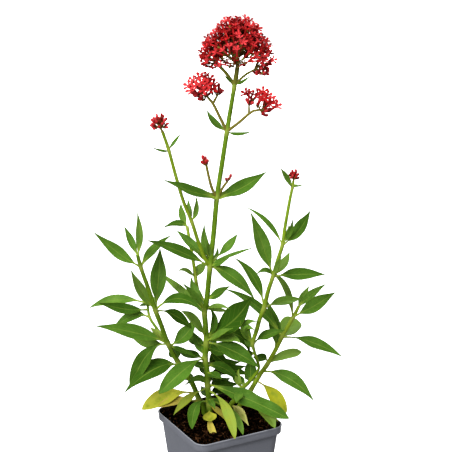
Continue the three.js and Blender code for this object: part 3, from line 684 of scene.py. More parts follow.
# %% The main shoot, with its tall and its short branch
MAIN_STEM = {
    "thick": (5.8, 5.6, 5, 4.1), "rooted": True,
    "points": [
        (210, 424, 4), (209, 403, 5), (207.5, 384, 6), (206.8, 369, 6), (205, 358.5, 6),
        (206.5, 342, 6), (205.3, 323, 6), (204.5, 312, 6), (206.8, 300, 7), (210, 267, 8),
        (213.7, 233, 6), (217, 197, 4), (222, 164, 2), (227, 131.5, 0), (230.8, 108, -1),
        (235.2, 82, -2),
    ],
    "joints": [(209, 403), (207.5, 384), (205, 358.5), (206.5, 342), (204.5, 312), (210, 267),
               (217, 197), (227, 131.5), (234.4, 87)],
    "leaves": [
        leaf((234.8, 84.5), (251, 75), 14, 4.2, (243.5, 81), 0.6),
        leaf((234.4, 86), (223.5, 75.5), 4, 2.4, (229, 79.8), 0.4),
        leaf((227, 131.5), (206.5, 109.5), -12, 6, (214.5, 121.8), 0.35),
        leaf((227, 131.5), (253, 130.8), 4, 3.6, (239, 133.8), 0.5),
        leaf((217, 197), (163.5, 179.8), 40, 12.4, (191.5, 189.8), 0.3, "clasping"),
        leaf((217, 197), (266, 172), -16, 13.6, (242, 186.6), 0.32, "clasping"),
        leaf((210, 267), (147.5, 240.5), 20, 11, (181, 251), 0.25),
        leaf((210, 262), (176.5, 230.5), -22, 8, (191, 243), 0.4),
        leaf((211, 262), (193, 248), 4, 4, (203, 257), 0.85),
        leaf((210, 261), (204.5, 224.5), -14, 7, (204.8, 243), 0.5),
        leaf((211, 260), (207.5, 240), 12, 4, None, 0.8),
        leaf((212, 262), (217.5, 246.5), -24, 3.4, (216.5, 255), 0.6),
        leaf((211.5, 263), (237.5, 233.8), -14, 8, (226, 248), 0.5, "petioled"),
        leaf((211, 263), (254, 247.5), 10, 3.8, (234, 253.8), 0.5),
        leaf((210.5, 266), (229, 258), 14, 7.4, (220, 261.5), 0.35),
        leaf((210, 265.5), (254.5, 299), 14, 13, (234.3, 277.3), 0.35, "sessile"),
        leaf((210, 267), (212, 254), -48, 12, None, 0.4),
        leaf((205, 311), (157, 271), -40, 7, None, 0.8),
        leaf((205, 308), (182.5, 283), 12, 7, None, 0.45),
        leaf((206.5, 302), (191.5, 277), -14, 7.4, (195, 290), 0.6),
        leaf((207, 299), (230, 286), 14, 9.4, (218.5, 292.6), 0.28, "sessile"),
        leaf((205, 309), (229.5, 309), 8, 5, (218, 305.6), 0.75),
        leaf((205, 309), (229, 311.5), -8, 5, (218, 309.5), 0.8),
        leaf((205, 316), (201, 298), -46, 12, None, 0.5),
        # This leaf faces away from the lamps; its high tone is painted light.
        leaf((206.5, 338), (181.5, 311), 36, 13, (196, 321.8), 0.85),
        leaf((206, 338), (251, 298), 26, 23, (231.3, 319.8), -0.1),
        leaf((206.5, 342), (259, 367.5), 26, 15.5, (233.5, 350.4), 0.18),
        leaf((206.5, 341), (233, 328), 38, 8, None, 0.75),
        leaf((206.5, 341), (240.5, 343), 24, 8, (228, 337.5), 0.8),
        leaf((206.5, 338), (209.5, 307), 14, 6.5, (214.5, 323), 0.3),
        leaf((205, 356), (192, 331), -20, 9, None, 0.35),
        leaf((205, 358.5), (159, 393.5), 40, 16.5, (186, 367.5), 0.38, "spoon"),
        leaf((205, 358), (176, 348.5), -34, 10.4, (190.5, 354), 0.05),
        leaf((206, 362), (240, 362), -38, 11, (222, 363), 0.05),
        leaf((206.5, 366), (243, 385), -8, 9, (224, 368), 0.1),
        leaf((206.8, 377), (200, 362), -30, 8, None, 0.3),
        leaf((207.5, 384), (289, 418.5), 26, 15.5, (246, 397.5), 0.42, "wavy"),
        leaf((207.5, 386), (184, 386), 12, 7, (199, 378), 0.5),
        leaf((207.5, 388), (230, 378), -40, 11, None, 0.25),
        leaf((208, 398), (231, 408), 6, 6, None, 0.2),
        leaf((206.8, 388), (173.5, 415), 16, 7.6, (189, 397.5), 1.5, "petioled"),
        leaf((209, 402), (192, 429), 24, 10.5, (196, 406), 0.38, "spoon"),
        leaf((208.5, 398), (215, 409), 26, 6, None, 0.45),
        leaf((208, 390), (235, 439), 44, 9.8, (225, 406.5), 1.4, "spoon"),
        leaf((208.5, 400), (243, 434.5), 34, 7.6, (231, 412), 0.55, "spoon"),
        leaf((208.5, 398), (201, 386), -42, 8, None, 0.25),
        leaf((209, 405), (226, 421), 14, 5, (218.5, 411), 2.0),
        # These leaves fill the plant's shaded middle; their low tones are painted shade.
        leaf((206, 347), (227, 354), 0, 10, None, 0.1),
        leaf((207, 372), (222, 379), 34, 9, None, 0.15),
        leaf((206.5, 338), (250, 353.5), -20, 12, (236, 333.5), 0.05),
        leaf((206, 347), (232, 369), -20, 11, None, 0.1),
        leaf((206, 362), (250, 375), -34, 11, None, 0.05),
        leaf((206.8, 369), (226, 345), -40, 11, None, 0.1),
        leaf((206.8, 376), (246, 366), -46, 11, None, 0.05),
        leaf((207.5, 384), (226, 364), -30, 10, None, 0.15),
        leaf((207.5, 386), (238, 384), -26, 10, None, 0.05),
        leaf((208, 395), (230, 386), -32, 10, None, 0.12),
        leaf((205, 356), (216, 334), -30, 10, None, 0.12),
        leaf((206.8, 369), (192, 362), -40, 8, None, 0.15),
        leaf((206, 347), (186, 336), -36, 10, None, 0.15),
    ],
}
TALL_BRANCH = {
    "thick": (3.9, 3.3, 3), "tone": 0.75,
    "points": [
        (210, 265, 8), (205, 259, 10), (201, 249, 12), (197, 238, 14), (191.7, 221.5, 16),
        (184, 203, 18), (176.3, 177.7, 21), (168.6, 149.6, 25), (162.6, 132, 28),
    ],
    "joints": [(191.7, 221.5), (168.6, 149.6)],
    "leaves": [
        leaf((192, 221), (196, 196), 10, 4.8, (196.2, 210), 0.7),
        leaf((192, 221), (188.5, 199.5), -14, 5.2, (189, 210), 0.5),
        leaf((168.6, 150.5), (151, 147), 6, 2.7, (162, 150.6), 0.35),
        leaf((168.6, 149.6), (181.5, 132.5), -4, 2.8, (174.5, 141.5), 0.35),
    ],
}
SHORT_BRANCH = {
    "thick": (3.8, 3), "tone": 0.8,
    "points": [
        (205, 311, 6), (200, 300, -3), (196.5, 284, -13), (195.4, 277, -17), (193.5, 263, -24),
        (191, 248, -30), (189, 237, -34), (187, 226, -37),
    ],
    "joints": [(195.4, 277), (187.2, 227)],
    "leaves": [
        leaf((195.4, 278), (178, 271), 14, 4.8, (186.5, 270.2), 0.95),
        leaf((195.4, 278), (208, 262), -14, 9, (199.8, 268.5), 0.8),
        leaf((187.2, 227), (181, 203), -8, 6.4, (182, 214.5), 0.65),
        leaf((187.2, 227), (162.5, 228.3), 4, 6.6, (177, 222.8), 0.2),
    ],
}

# %% The left shoot and its branch
LEFT_STEM = {
    "thick": (5.4, 5, 4.6, 3.5), "rooted": True,
    "points": [
        (204, 408, -12), (198.7, 398.7, -10), (191.8, 382.6, -6), (178, 362, 3),
        (168, 343.6, 11), (161.2, 325.2, 18), (155.3, 310, 23), (148.9, 290.3, 29),
        (140.7, 267, 35), (137.6, 255, 38),
    ],
    "joints": [(198.7, 398.7), (178, 362), (168, 343.6), (155.3, 310), (140.7, 267)],
    "leaves": [
        leaf((137.8, 256), (124.2, 226), -10, 6.4, (130.8, 240), 0.25),
        leaf((137.8, 256), (137.4, 212.5), 6, 6.6, (139.4, 234), 0.6),
        leaf((140.7, 267), (94, 232.5), 8, 11, (119.5, 253), 0.4),
        leaf((141, 267), (171, 235.5), -42, 8.4, (154, 248), 0.55),
        leaf((155.3, 311), (160, 248.5), -22, 14.6, (158.2, 279), 0.5, "stalked"),
        leaf((155, 309), (131, 270), 14, 9.4, (141, 290), 0.6),
        leaf((153, 303), (145, 290), -20, 6, None, 0.5),
        leaf((155.3, 310), (203, 312), 10, 10, (179, 298), 0.1, "stalked"),
        leaf((155.3, 311), (192, 329), -18, 11, (174, 314), 0.1, "petioled"),
        leaf((168, 343.6), (96, 326), 22, 14.5, (136.5, 332), 0.45),
        leaf((168, 343.6), (131, 336.5), -20, 9.5, (149, 343), 0.55),
        leaf((168, 344), (130.5, 388), 10, 14, (147.5, 353.5), 0.3, "spoon"),
        leaf((168, 343), (150, 327), -12, 8, None, 1.3),
        leaf((169, 346), (197.5, 316.5), -6, 13.5, (184, 335), 0.4),
        leaf((169, 345), (197, 357), 2, 5, None, 0.1),
        leaf((180, 366), (125, 392), 30, 18.5, (154.5, 367.5), 0.1, "stalked"),
        leaf((178, 362), (171, 347), -40, 11, None, 0.25),
        leaf((192, 383), (184, 372), -36, 10, None, 0.25),
    ],
}
LEFT_BRANCH = {
    "thick": (3, 2.4),
    "points": [(168, 343.6, 11), (155, 326, -4), (149.5, 317, -10), (147.5, 305, -15), (147.2, 301, -16)],
    "joints": [(149.5, 317)],
    "leaves": [
        leaf((147.4, 303), (89, 308), -8, 10, (116, 299.3), 0.62, "stalked"),
        leaf((147.4, 304), (139.5, 306), 16, 4, None, 0.45),
        leaf((148.3, 309.5), (99, 303), 14, 10.4, (126, 308.6), 0.1),
        leaf((149.5, 318), (111, 331), -6, 10, (132, 315.5), 0.5),
        leaf((148, 308), (153, 296), -34, 10, None, 0.6),
    ],
}

# %% The right shoot
# The right stem stands in the shade of its leaves; its high tone is painted light.
RIGHT_STEM = {
    "thick": (4.7, 4.4, 3.2), "rooted": True, "tone": 0.95,
    "points": [
        (238, 410, -9), (246, 398, -11), (250.5, 390.6, -12), (255.6, 381.9, -14), (261, 373, -16),
        (267.5, 364, -18), (276, 349, -22), (282, 337, -25), (287, 328, -28), (292.7, 318, -31),
        (296, 312, -33), (298.6, 306.5, -35),
    ],
    "joints": [(250.5, 390.6), (267.5, 364), (282, 337), (292.7, 318)],
    "leaves": [
        leaf((298, 308), (309, 286), -6, 7, None, 0.5),
        leaf((298.4, 307), (326, 284), 6, 8, (311, 294.6), 0.55),
        leaf((293.5, 317), (335, 292.5), 12, 14, (314, 305), 0.62),
        leaf((298, 307), (313.5, 288.5), -22, 7, None, 0.45),
        leaf((292.7, 318), (268, 270), 36, 7.4, (286, 288), 0.8),
        leaf((282, 337), (225, 289), -14, 9, (257.5, 306.3), 0.35),
        leaf((275, 351), (266, 299), -20, 11, (275, 327), 0.35),
        leaf((282, 338), (295.5, 318.3), -36, 19.5, None, 0.85, "blunt"),
        leaf((282, 337), (342, 356.5), 14, 11.6, (311, 341), 0.38, "petioled"),
        leaf((267.5, 364), (301.5, 352), -8, 9, (283, 355.3), 0.95, "blunt"),
        leaf((262, 371), (313.5, 400.5), 16, 14.4, (290, 378), 0.45, "stalked"),
        leaf((269, 361), (253, 357), -24, 10, (261, 357.5), 0.12),
        leaf((255, 383), (246, 371), -38, 11, None, 0.3),
    ],
}

# %% The flowering shoot
FLOWERING_STEM = {
    "thick": (4.6, 4.6, 4.4, 4.2, 3.6, 2.8, 2.6, 2.6, 2.8, 3.8, 4.3, 4.3, 4.2, 4.1, 3.9, 3.7, 3.5, 3.3, 3,
              2.8, 2.4),
    "rooted": True, "tone": 0.55,
    "points": [
        (228, 412, 4), (236, 398, 6), (241.8, 388.6, 8), (249, 382, 10), (257.7, 371.2, 13),
        (259, 366, 15), (257, 360, 17), (254, 350, 20), (252.7, 343, 22), (256.5, 330.6, 25),
        (260, 318, 28), (264.2, 307.7, 30), (268.1, 291.2, 32), (273, 276.5, 33),
        (277.9, 259.6, 33), (282.5, 245, 33), (284.9, 228, 32), (289.8, 200, 30),
        (292.6, 186.7, 29), (293.4, 181, 29),
    ],
    "joints": [(241.8, 388.6), (252.7, 343), (264.2, 307.7), (273, 276.5), (282.5, 245), (292.6, 186.7)],
    "leaves": [
        leaf((249, 382), (249, 357), -10, 11, (250.5, 371), 0.25),
        leaf((241, 390), (236, 403), 24, 8, None, 0.45),
        leaf((238, 395), (275, 428), 24, 12, (260, 404.5), 1.2, "spoon"),
        leaf((252.7, 344), (240.5, 321.5), 6, 8, (245.5, 331.5), 0.75),
        leaf((252.7, 344), (257, 321.5), 12, 8.4, (246, 325.5), 0.5),
        leaf((252.7, 344), (255, 330.5), 18, 6.4, (247, 328.5), 0.6),
        leaf((252.7, 345), (285, 330), -6, 9, (264, 335.5), 0.3, "petioled"),
        leaf((253.5, 348), (244, 340), -16, 6, None, 0.4),
        leaf((255, 353), (236, 359), -14, 9, None, 0.35),
        leaf((245, 385), (231, 374), -22, 9, None, 0.3),
        leaf((264.2, 308), (302, 299), -46, 10, (284, 300.3), 0.5),
        leaf((264.2, 307.7), (235, 258), -12, 9, (254.6, 278.6), 0.22, "stalked"),
        leaf((273, 276.5), (251, 213), 10, 13, (263.5, 246.5), 0.45, "stalked"),
        leaf((273, 276.5), (325, 274.5), -10, 12, (298.5, 273.6), 0.25, "stalked"),
        leaf((273, 276), (289.5, 252), -22, 8, (283.5, 263), 0.85),
        leaf((273, 276), (281.5, 256), 20, 5, None, 0.7),
        leaf((273, 276), (256, 274.3), 12, 4.8, (266, 269.8), 0.5),
        leaf((241.8, 388.6), (239, 369), -14, 6, (238, 379), 1.25),
        leaf((282.5, 245), (245.5, 207), -8, 4.6, (267, 221.5), 0.3),
        leaf((282.5, 245), (310, 211), 10, 11.6, (298, 230), 0.25),
        leaf((283, 243), (289, 224), -10, 4, (287.5, 234), 0.55),
        leaf((283, 243), (292.5, 219), 16, 4.6, (290, 232), 0.55),
        leaf((292.5, 187), (280.5, 168), 6, 5, None, 0.5),
        leaf((292.5, 187), (303.5, 185), -4, 1.7, None, 0.7),
        leaf((292.5, 187), (297.5, 184.5), 4, 2.6, None, 0.8),
        leaf((292.5, 187), (288, 183.5), 6, 2.2, None, 0.9),
    ],
}

SHOOTS = [
    ("main_shoot", [MAIN_STEM, TALL_BRANCH, SHORT_BRANCH]),
    ("left_shoot", [LEFT_STEM, LEFT_BRANCH]),
    ("right_shoot", [RIGHT_STEM]),
    ("flowering_shoot", [FLOWERING_STEM]),
]
print("leaves in the plan:", sum(len(stem["leaves"]) for _, stems in SHOOTS for stem in stems))

# %% Green stems
def stem_material():
    material, tree = new_material("green_stem", 0.5, Specular_IOR_Level=0.08)
    tone = tree.node("ShaderNodeAttribute", {"attribute_name": "tone"}, output="Fac")
    joint = tree.node("ShaderNodeAttribute", {"attribute_name": "joint"}, output="Fac")
    streak = spots(tree, 1100, 3, (1, 1, 0.03))
    cloud = spots(tree, 60, 3)
    # The tone runs from dark to light green; on a stem in shade a high tone is painted light.
    dark = colour_between(tree, tone, (0.033, 0.092, 0.001, 1), (0.13, 0.21, 0.006, 1))
    light = colour_between(tree, tone, (0.09, 0.2, 0.01, 1), (0.28, 0.38, 0.02, 1))
    green = colour_between(tree, (streak * 0.75 + cloud * 0.45).between(0.3, 0.85), dark, light)
    feed(material, "Base Color", colour_between(tree, joint * 0.75, green, (0.32, 0.38, 0.06, 1)))
    feed(material, "Normal", bumps(tree, streak, 0.0003, 0.7))
    return material


green_stem = stem_material()

# %% Laying the stems
ROOT_LEVEL = 0.065


def stem_line(stem):
    """The smooth line of a stem, from its root to its top, with the share of each place."""
    points = [seen(*point) for point in stem["points"]]
    if stem.get("rooted"):
        points.insert(0, Vector((points[0].x, points[0].y, ROOT_LEVEL)))
    return smooth_line(points)


def closest_on(stem, column, row):
    """The place on a stem's middle line that the photo shows closest to a point."""
    best = (1e9, None)
    for first, second in zip(stem["points"], stem["points"][1:]):
        start, span = Vector(first[:2]), Vector(second[:2]) - Vector(first[:2])
        share = min(max((Vector((column, row)) - start).dot(span) / span.length_squared, 0), 1)
        gap = (start + span * share - Vector((column, row))).length
        if gap < best[0]:
            best = (gap, seen(*first).lerp(seen(*second), share))
    return best[1]


def lay_stem(stem):
    line, shares = stem_line(stem)
    thick = stem["thick"]
    radii = np.interp(shares, np.linspace(0, 1, len(thick)), thick) / 2000
    joint = np.zeros(len(line))
    for column, row in stem["joints"]:
        gap = np.linalg.norm(line - np.array(closest_on(stem, column, row)), axis=1)
        joint = np.maximum(joint, np.exp(-(gap / 0.0032) ** 2))
    return lay_stalk(stem_pattern, line, radii * (1 + 0.13 * joint), joint=joint, tone=stem.get("tone", 0.25))


for node, stems in SHOOTS:
    piece = gather(f"{node}_stems", [lay_stem(stem) for stem in stems], [green_stem])
    settle(piece, [node])

# %% [markdown]
# ## Leaves
# A valerian leaf is a pointed blade with a pale midrib, a little folded along it, on a
# short stalk or none, and the oldest, at the foot, are blunt spoons. A grid from foot to
# tip is folded and then narrowed column by column, so its own UV map runs along and across
# the leaf and the veins can follow it.
# The midrib is a thin tapered stalk of its own, because its pale line and its ridge on
# the underside show on every leaf. Both are modelled once, and every leaf is a copy that
# is bent along its spine in code: a modifier for each of 140 leaves would be slow.

# %% The outlines of leaves: width at shares of their length
OUTLINES = {
    "stalked": [(0, 0.075), (0.06, 0.06), (0.12, 0.07), (0.17, 0.15), (0.23, 0.38), (0.3, 0.65), (0.38, 0.87),
                (0.46, 0.98), (0.53, 1), (0.61, 0.94), (0.69, 0.81), (0.77, 0.61), (0.84, 0.42), (0.9, 0.26),
                (0.95, 0.15), (1, 0.04)],
    "sessile": [(0, 0.2), (0.05, 0.19), (0.1, 0.26), (0.16, 0.44), (0.23, 0.68), (0.3, 0.87), (0.38, 0.98),
                (0.46, 1), (0.54, 0.96), (0.62, 0.86), (0.7, 0.7), (0.78, 0.5), (0.86, 0.32), (0.93, 0.17),
                (1, 0.04)],
    "clasping": [(0, 0.3), (0.03, 0.5), (0.08, 0.52), (0.14, 0.48), (0.22, 0.62), (0.3, 0.83), (0.38, 0.96),
                 (0.46, 1), (0.54, 0.97), (0.62, 0.88), (0.7, 0.72), (0.78, 0.52), (0.86, 0.32), (0.93, 0.17),
                 (1, 0.04)],
    "petioled": [(0, 0.09), (0.08, 0.07), (0.2, 0.08), (0.26, 0.14), (0.33, 0.36), (0.41, 0.67), (0.5, 0.93),
                 (0.57, 1), (0.65, 0.96), (0.74, 0.81), (0.82, 0.58), (0.89, 0.35), (0.95, 0.17), (1, 0.04)],
    "blunt": [(0, 0.2), (0.1, 0.2), (0.2, 0.38), (0.3, 0.66), (0.4, 0.85), (0.5, 0.95), (0.6, 1), (0.7, 1),
              (0.8, 0.95), (0.88, 0.82), (0.94, 0.6), (1, 0.1)],
    "spoon": [(0, 0.1), (0.08, 0.07), (0.18, 0.08), (0.26, 0.15), (0.34, 0.34), (0.43, 0.62), (0.52, 0.86),
              (0.6, 0.98), (0.67, 1), (0.75, 0.94), (0.82, 0.82), (0.88, 0.66), (0.93, 0.48), (0.97, 0.28),
              (1, 0.06)],
    "wavy": [(0, 0.12), (0.07, 0.1), (0.13, 0.18), (0.2, 0.36), (0.28, 0.56), (0.36, 0.8), (0.44, 0.98),
             (0.52, 1), (0.59, 0.86), (0.66, 0.84), (0.75, 0.92), (0.83, 0.86), (0.9, 0.66), (0.95, 0.4),
             (1, 0.05)],
}
FOLD = 0.34


def width_at(outline, share):
    stations, widths = zip(*outline)
    return np.interp(share, stations, widths)


def blade_pattern(name, outline, columns=26, rows=8):
    """A leaf from 0 to 1 along X, one unit wide, folded upwards from its middle."""
    blade = begin(name, bpy.ops.mesh.primitive_grid_add, x_subdivisions=columns,
                  y_subdivisions=rows, size=1, location=(0.5, 0, 0))
    for row in range(rows + 1):
        y = row / rows - 0.5
        pick_points(blade, lambda place: abs(place.y - y) < 0.01)
        drop = -FOLD * 0.5 * (1 - (abs(y) * 2) ** 1.4)
        bpy.ops.transform.translate(value=(0, 0, drop))
    for column in range(columns + 1):
        x = column / columns
        pick_points(blade, lambda place: abs(place.x - x) < 0.01)
        width = float(width_at(outline, x))
        bpy.ops.transform.resize(value=(1, width, width), center_override=(x, 0, 0))
    end_edit(blade, outward=False)
    clear_selection()
    set_apart(blade)
    return blade


BLADES = {shape: blade_pattern(f"{shape}_blade", outline) for shape, outline in OUTLINES.items()}
rib_pattern = stalk_pattern("rib_pattern", 6, 14, 1.0)
print("blade pattern:", len(BLADES["stalked"].data.polygons), "faces")

# %% Bending a copy along its spine
ROLL = math.radians(32)
FACING = np.array(SIGHT * -math.cos(ROLL) + UP * math.sin(ROLL))
ARCH = 0.02


def leaf_spine(stem, plan):
    """The three control points of a leaf's spine."""
    root = closest_on(stem, *plan["foot"])
    near = -root.dot(AWAY) * 1000
    end = seen(*plan["tip"], near + plan["toward"])
    if plan["via"]:
        middle = seen(*plan["via"], near + plan["toward"] / 2)
    else:
        middle = (root + end) / 2 + UP * (ARCH * (end - root).length)
    return np.array([root, middle * 2 - (root + end) / 2, end])


def on_spine(spine, shares):
    """Places and directions at shares of a spine."""
    t = shares[:, None]
    places = spine[0] * (1 - t) ** 2 + spine[1] * 2 * t * (1 - t) + spine[2] * t ** 2
    along = (spine[1] - spine[0]) * (1 - t) + (spine[2] - spine[1]) * t
    return places, along / np.linalg.norm(along, axis=1)[:, None]


def lay_on_spine(pattern, spine, wide, thick, drop, chance, **marks):
    """A copy of a flat pattern on a spine: wide across it, thick off it, sunk by drop."""
    points = points_of(pattern.data)
    shares = np.clip(points[:, 0], 0, 1)
    places, along = on_spine(spine, shares)
    side = np.cross(along, FACING)
    side /= np.linalg.norm(side, axis=1)[:, None]
    top = np.cross(side, along)
    twist = chance["lean"] + chance["twist"] * (shares - 0.4)
    side, top = (side * np.cos(twist)[:, None] + top * np.sin(twist)[:, None],
                 top * np.cos(twist)[:, None] - side * np.sin(twist)[:, None])
    across = points[:, 1] * wide
    wave = chance["wave"] * np.sin(shares * chance["waves"] + chance["phase"] + np.sign(points[:, 1]))
    lift = points[:, 2] * thick + drop(shares) + wave * np.minimum(np.abs(across) / 0.006, 1) ** 2
    return moved_copy(pattern, places + side * across[:, None] + top * lift[:, None], **marks)


# %% Leaf green
def leaf_material(name, dark, middle, light, rib_colour, gloss):
    """A leaf's finish: its tone, clouds, side veins and a pale edge."""
    material, tree = new_material(name, gloss, Specular_IOR_Level=0.0, Coat_Roughness=0.5)
    tone = tree.node("ShaderNodeAttribute", {"attribute_name": "tone"}, output="Fac")
    flat = tree.node("ShaderNodeUVMap", {"uv_map": "UVMap"})
    u = tree.node("ShaderNodeSeparateXYZ", None, {0: flat}, output="X")
    v = tree.node("ShaderNodeSeparateXYZ", None, {0: flat}, output="Y")
    off = abs(v - 0.5)
    slant = (u * 8 - off * 5).part()
    veins = 1 - abs(slant - 0.5).between(0.0, 0.11)
    midrib = 1 - off.between(0.012, 0.05)
    cloud = spots(tree, 90, 4)
    fleck = spots(tree, 700, 3)
    shade = (tone + (cloud - 0.5) * 0.55 + (fleck - 0.5) * 0.25).between(-0.05, 1.05)
    ramp = tree.node("ShaderNodeValToRGB", {"stops": [(0.0, dark), (0.5, middle), (1.0, light)]}, {0: shade})
    veined = colour_between(tree, veins * 0.12 * off.between(0.02, 0.1) + midrib * 0.3, ramp, rib_colour)
    edge = off.between(0.46, 0.5)
    foot = 1 - u.between(0.06, 0.26)
    green = colour_between(tree, edge * 0.2 + foot * 0.7, veined, rib_colour)
    yellowing = (tone - 1 + (cloud - 0.5) * 0.5).between(0.0, 0.8)
    lime = colour_between(tree, yellowing, green, (0.27, 0.29, 0.02, 1))
    feed(material, "Base Color", colour_between(tree, (tone - 1.8).between(0.0, 0.3), lime, (0.34, 0.26, 0.04, 1)))
    feed(material, "Coat Weight", (tone + cloud * 0.6).between(0.2, 1.4) * 0.2)
    feed(material, "Roughness", gloss + 0.18 * cloud)
    feed(material, "Normal", bumps(tree, fleck * 0.25 - veins * 0.5 - midrib, 0.0003, 0.8))
    return material


leaf_top = leaf_material("leaf_upper_side", (0.009, 0.035, 0.0005, 1), (0.047, 0.135, 0.001, 1),
                         (0.14, 0.275, 0.01, 1), (0.27, 0.37, 0.035, 1), 0.42)
leaf_under = leaf_material("leaf_underside", (0.03, 0.085, 0.006, 1), (0.075, 0.175, 0.016, 1),
                           (0.17, 0.3, 0.04, 1), (0.27, 0.37, 0.05, 1), 0.55)

# %% Pale ribs and leaf stalks
def rib_material(name, low, high):
    material, tree = new_material(name, 0.5, Specular_IOR_Level=0.15)
    tone = tree.node("ShaderNodeAttribute", {"attribute_name": "tone"}, output="Fac")
    cloud = spots(tree, 240, 3)
    feed(material, "Base Color", colour_between(tree, (tone * 0.7 + cloud * 0.5).between(0.1, 1), low, high))
    feed(material, "Normal", bumps(tree, spots(tree, 1600, 2), 0.0002, 0.5))
    return material


pale_rib = rib_material("pale_rib", (0.045, 0.12, 0.004, 1), (0.26, 0.36, 0.03, 1))

# %% Laying the leaves
WALL = 0.00035
RIB_SIZES = [0.0012, 0.00095, 0.0008, 0.00045, 0.0003, 0.0001]


def leaf_chance(seed, wide):
    """How a leaf leans, twists and waves by chance, the same on every run."""
    dice = random.Random(seed)
    return {"lean": dice.gauss(0, 0.09), "twist": dice.gauss(0, 0.28), "phase": dice.uniform(0, 6.28),
            "waves": dice.uniform(7, 12), "wave": min(0.0007, wide * 0.06) * dice.uniform(0.3, 1),
            "tone": dice.gauss(0, 0.06)}


def lay_leaf(stem, plan, seed):
    """The blade and the rib of one leaf."""
    wide = plan["wide"] / 1000
    spine = leaf_spine(stem, plan)
    chance = leaf_chance(seed, wide)
    outline = OUTLINES[plan["shape"]]
    tone = plan["tone"] + chance["tone"]
    blade = lay_on_spine(BLADES[plan["shape"]], spine, wide, wide, lambda share: share * 0, chance, tone=tone)
    stout = min(plan["wide"] / 9, 1)

    def rib_drop(share):
        return -FOLD * 0.5 * width_at(outline, share) * wide - 0.00018

    shares = np.clip(points_of(rib_pattern.data)[:, 0], 0, 1)
    thick = np.interp(shares, [0, 0.1, 0.2, 0.32, 0.6, 1], RIB_SIZES) * stout
    pale = tone * 0.6 + 1 - np.clip(shares / 0.25, 0, 1)
    rib = lay_on_spine(rib_pattern, spine, 1, 1, rib_drop, {**chance, "wave": 0}, tone=pale)
    places = points_of(rib)
    middle = points_of(lay_on_spine(rib_pattern, spine, 0, 0, rib_drop, {**chance, "wave": 0}))
    rib.vertices.foreach_set("co", (middle + (places - middle) * thick[:, None]).ravel())
    return blade, rib


def leaf_pieces(name, laid, materials, rib):
    """Gives the blades their thickness and gathers blades and ribs."""
    blades = gather(f"{name}_blades", [blade for blade, _ in laid], materials)
    apply_modifier(blades, "SOLIDIFY", thickness=WALL, offset=0, use_even_offset=False,
                   material_offset=1)
    smooth(blades, 50)
    ribs = gather(f"{name}_ribs", [rib_mesh for _, rib_mesh in laid], [rib])
    return blades, ribs


seed = 0
for node, stems in SHOOTS:
    laid = []
    for stem in stems:
        for plan in stem["leaves"]:
            seed += 1
            laid.append(lay_leaf(stem, plan, seed))
    for piece in leaf_pieces(node, laid, [leaf_top, leaf_under], pale_rib):
        settle(piece, [node])

# %% [markdown]
# ## Faded leaves
# The oldest leaves, at the plant's foot, have gone yellow, lime or amber. They are the
# same blades with a finish of their own, in which green lingers along the rib and brown
# creeps in from the tip, and each is a piece of its own because each fell by itself.

# %% Yellowed leaf
def faded_material(name, base, green, brown, start):
    material, tree = new_material(name, 0.55, Specular_IOR_Level=0.15)
    flat = tree.node("ShaderNodeUVMap", {"uv_map": "UVMap"})
    u = tree.node("ShaderNodeSeparateXYZ", None, {0: flat}, output="X")
    v = tree.node("ShaderNodeSeparateXYZ", None, {0: flat}, output="Y")
    off = abs(v - 0.5)
    cloud = spots(tree, 170, 5)
    fleck = spots(tree, 900, 3)
    lingering = (1 - off.between(0.0, 0.42)) * cloud.between(0.35, 0.7)
    creeping = (u + (cloud - 0.5) * 0.7).between(start, start + 0.25)
    first = colour_between(tree, lingering * 0.85 + fleck * 0.15, base, green)
    feed(material, "Base Color", colour_between(tree, creeping * 0.8, first, brown))
    feed(material, "Roughness", 0.4 + 0.3 * cloud)
    feed(material, "Normal", bumps(tree, cloud + fleck * 0.4, 0.0006, 0.8))
    return material


GREENISH = (0.13, 0.2, 0.01, 1)
AMBER = (0.36, 0.2, 0.025, 1)
yellow_leaf = faded_material("yellow_leaf", (0.43, 0.43, 0.035, 1), (0.19, 0.25, 0.01, 1), AMBER, 1.25)
lime_leaf = faded_material("lime_leaf", (0.34, 0.35, 0.008, 1), GREENISH, AMBER, 1.3)
amber_leaf = faded_material("amber_leaf", (0.5, 0.4, 0.07, 1), (0.3, 0.3, 0.03, 1), (0.34, 0.17, 0.03, 1), 0.85)
pale_leaf = faded_material("pale_leaf", (0.55, 0.52, 0.15, 1), (0.3, 0.36, 0.05, 1), AMBER, 1.1)
faded_rib = rib_material("faded_rib", (0.22, 0.25, 0.02, 1), (0.42, 0.4, 0.07, 1))

# %% The seven faded leaves
FADED = [
    ("faded_leaf_left", LEFT_STEM, yellow_leaf, leaf((197, 393), (142, 409.5), 24, 17, (169.5, 394.5), shape="spoon")),
    ("faded_leaf_left_corner", LEFT_STEM, amber_leaf, leaf((201, 403), (158, 407), 26, 10, (180, 399.5), shape="spoon")),
    ("faded_leaf_front_left", MAIN_STEM, yellow_leaf, leaf((209.5, 409), (210, 421), 15, 13, (209.6, 414.6), shape="spoon")),
    ("faded_leaf_front", MAIN_STEM, amber_leaf, leaf((209.5, 414), (219, 441), 36, 6.6, (211.3, 428), shape="stalked")),
    ("faded_leaf_front_right", FLOWERING_STEM, pale_leaf, leaf((230, 404), (248.5, 425.5), 20, 8, (240.5, 413))),
    ("faded_leaf_right", RIGHT_STEM, lime_leaf, leaf((241, 405), (278, 421.5), 28, 6.5, (261, 406))),
    ("faded_leaf_right_corner", RIGHT_STEM, lime_leaf, leaf((257, 381), (286.5, 412.5), 16, 12.5, (271.5, 392), shape="spoon")),
]
for index, (node, stem, finish, plan) in enumerate(FADED):
    laid = [lay_leaf(stem, plan, 500 + index)]
    for piece in leaf_pieces(node, laid, [finish, finish], faded_rib):
        settle(piece, [node])

# %% [markdown]
# ## Flowers
# A valerian flower is a thin tube that opens into five lobes, on a small green calyx, and
# some show one long stamen. A lobe is extruded once and spun five times round the tube.
# The shape is kept to a few dozen faces, because the heads hold some 250 of them.

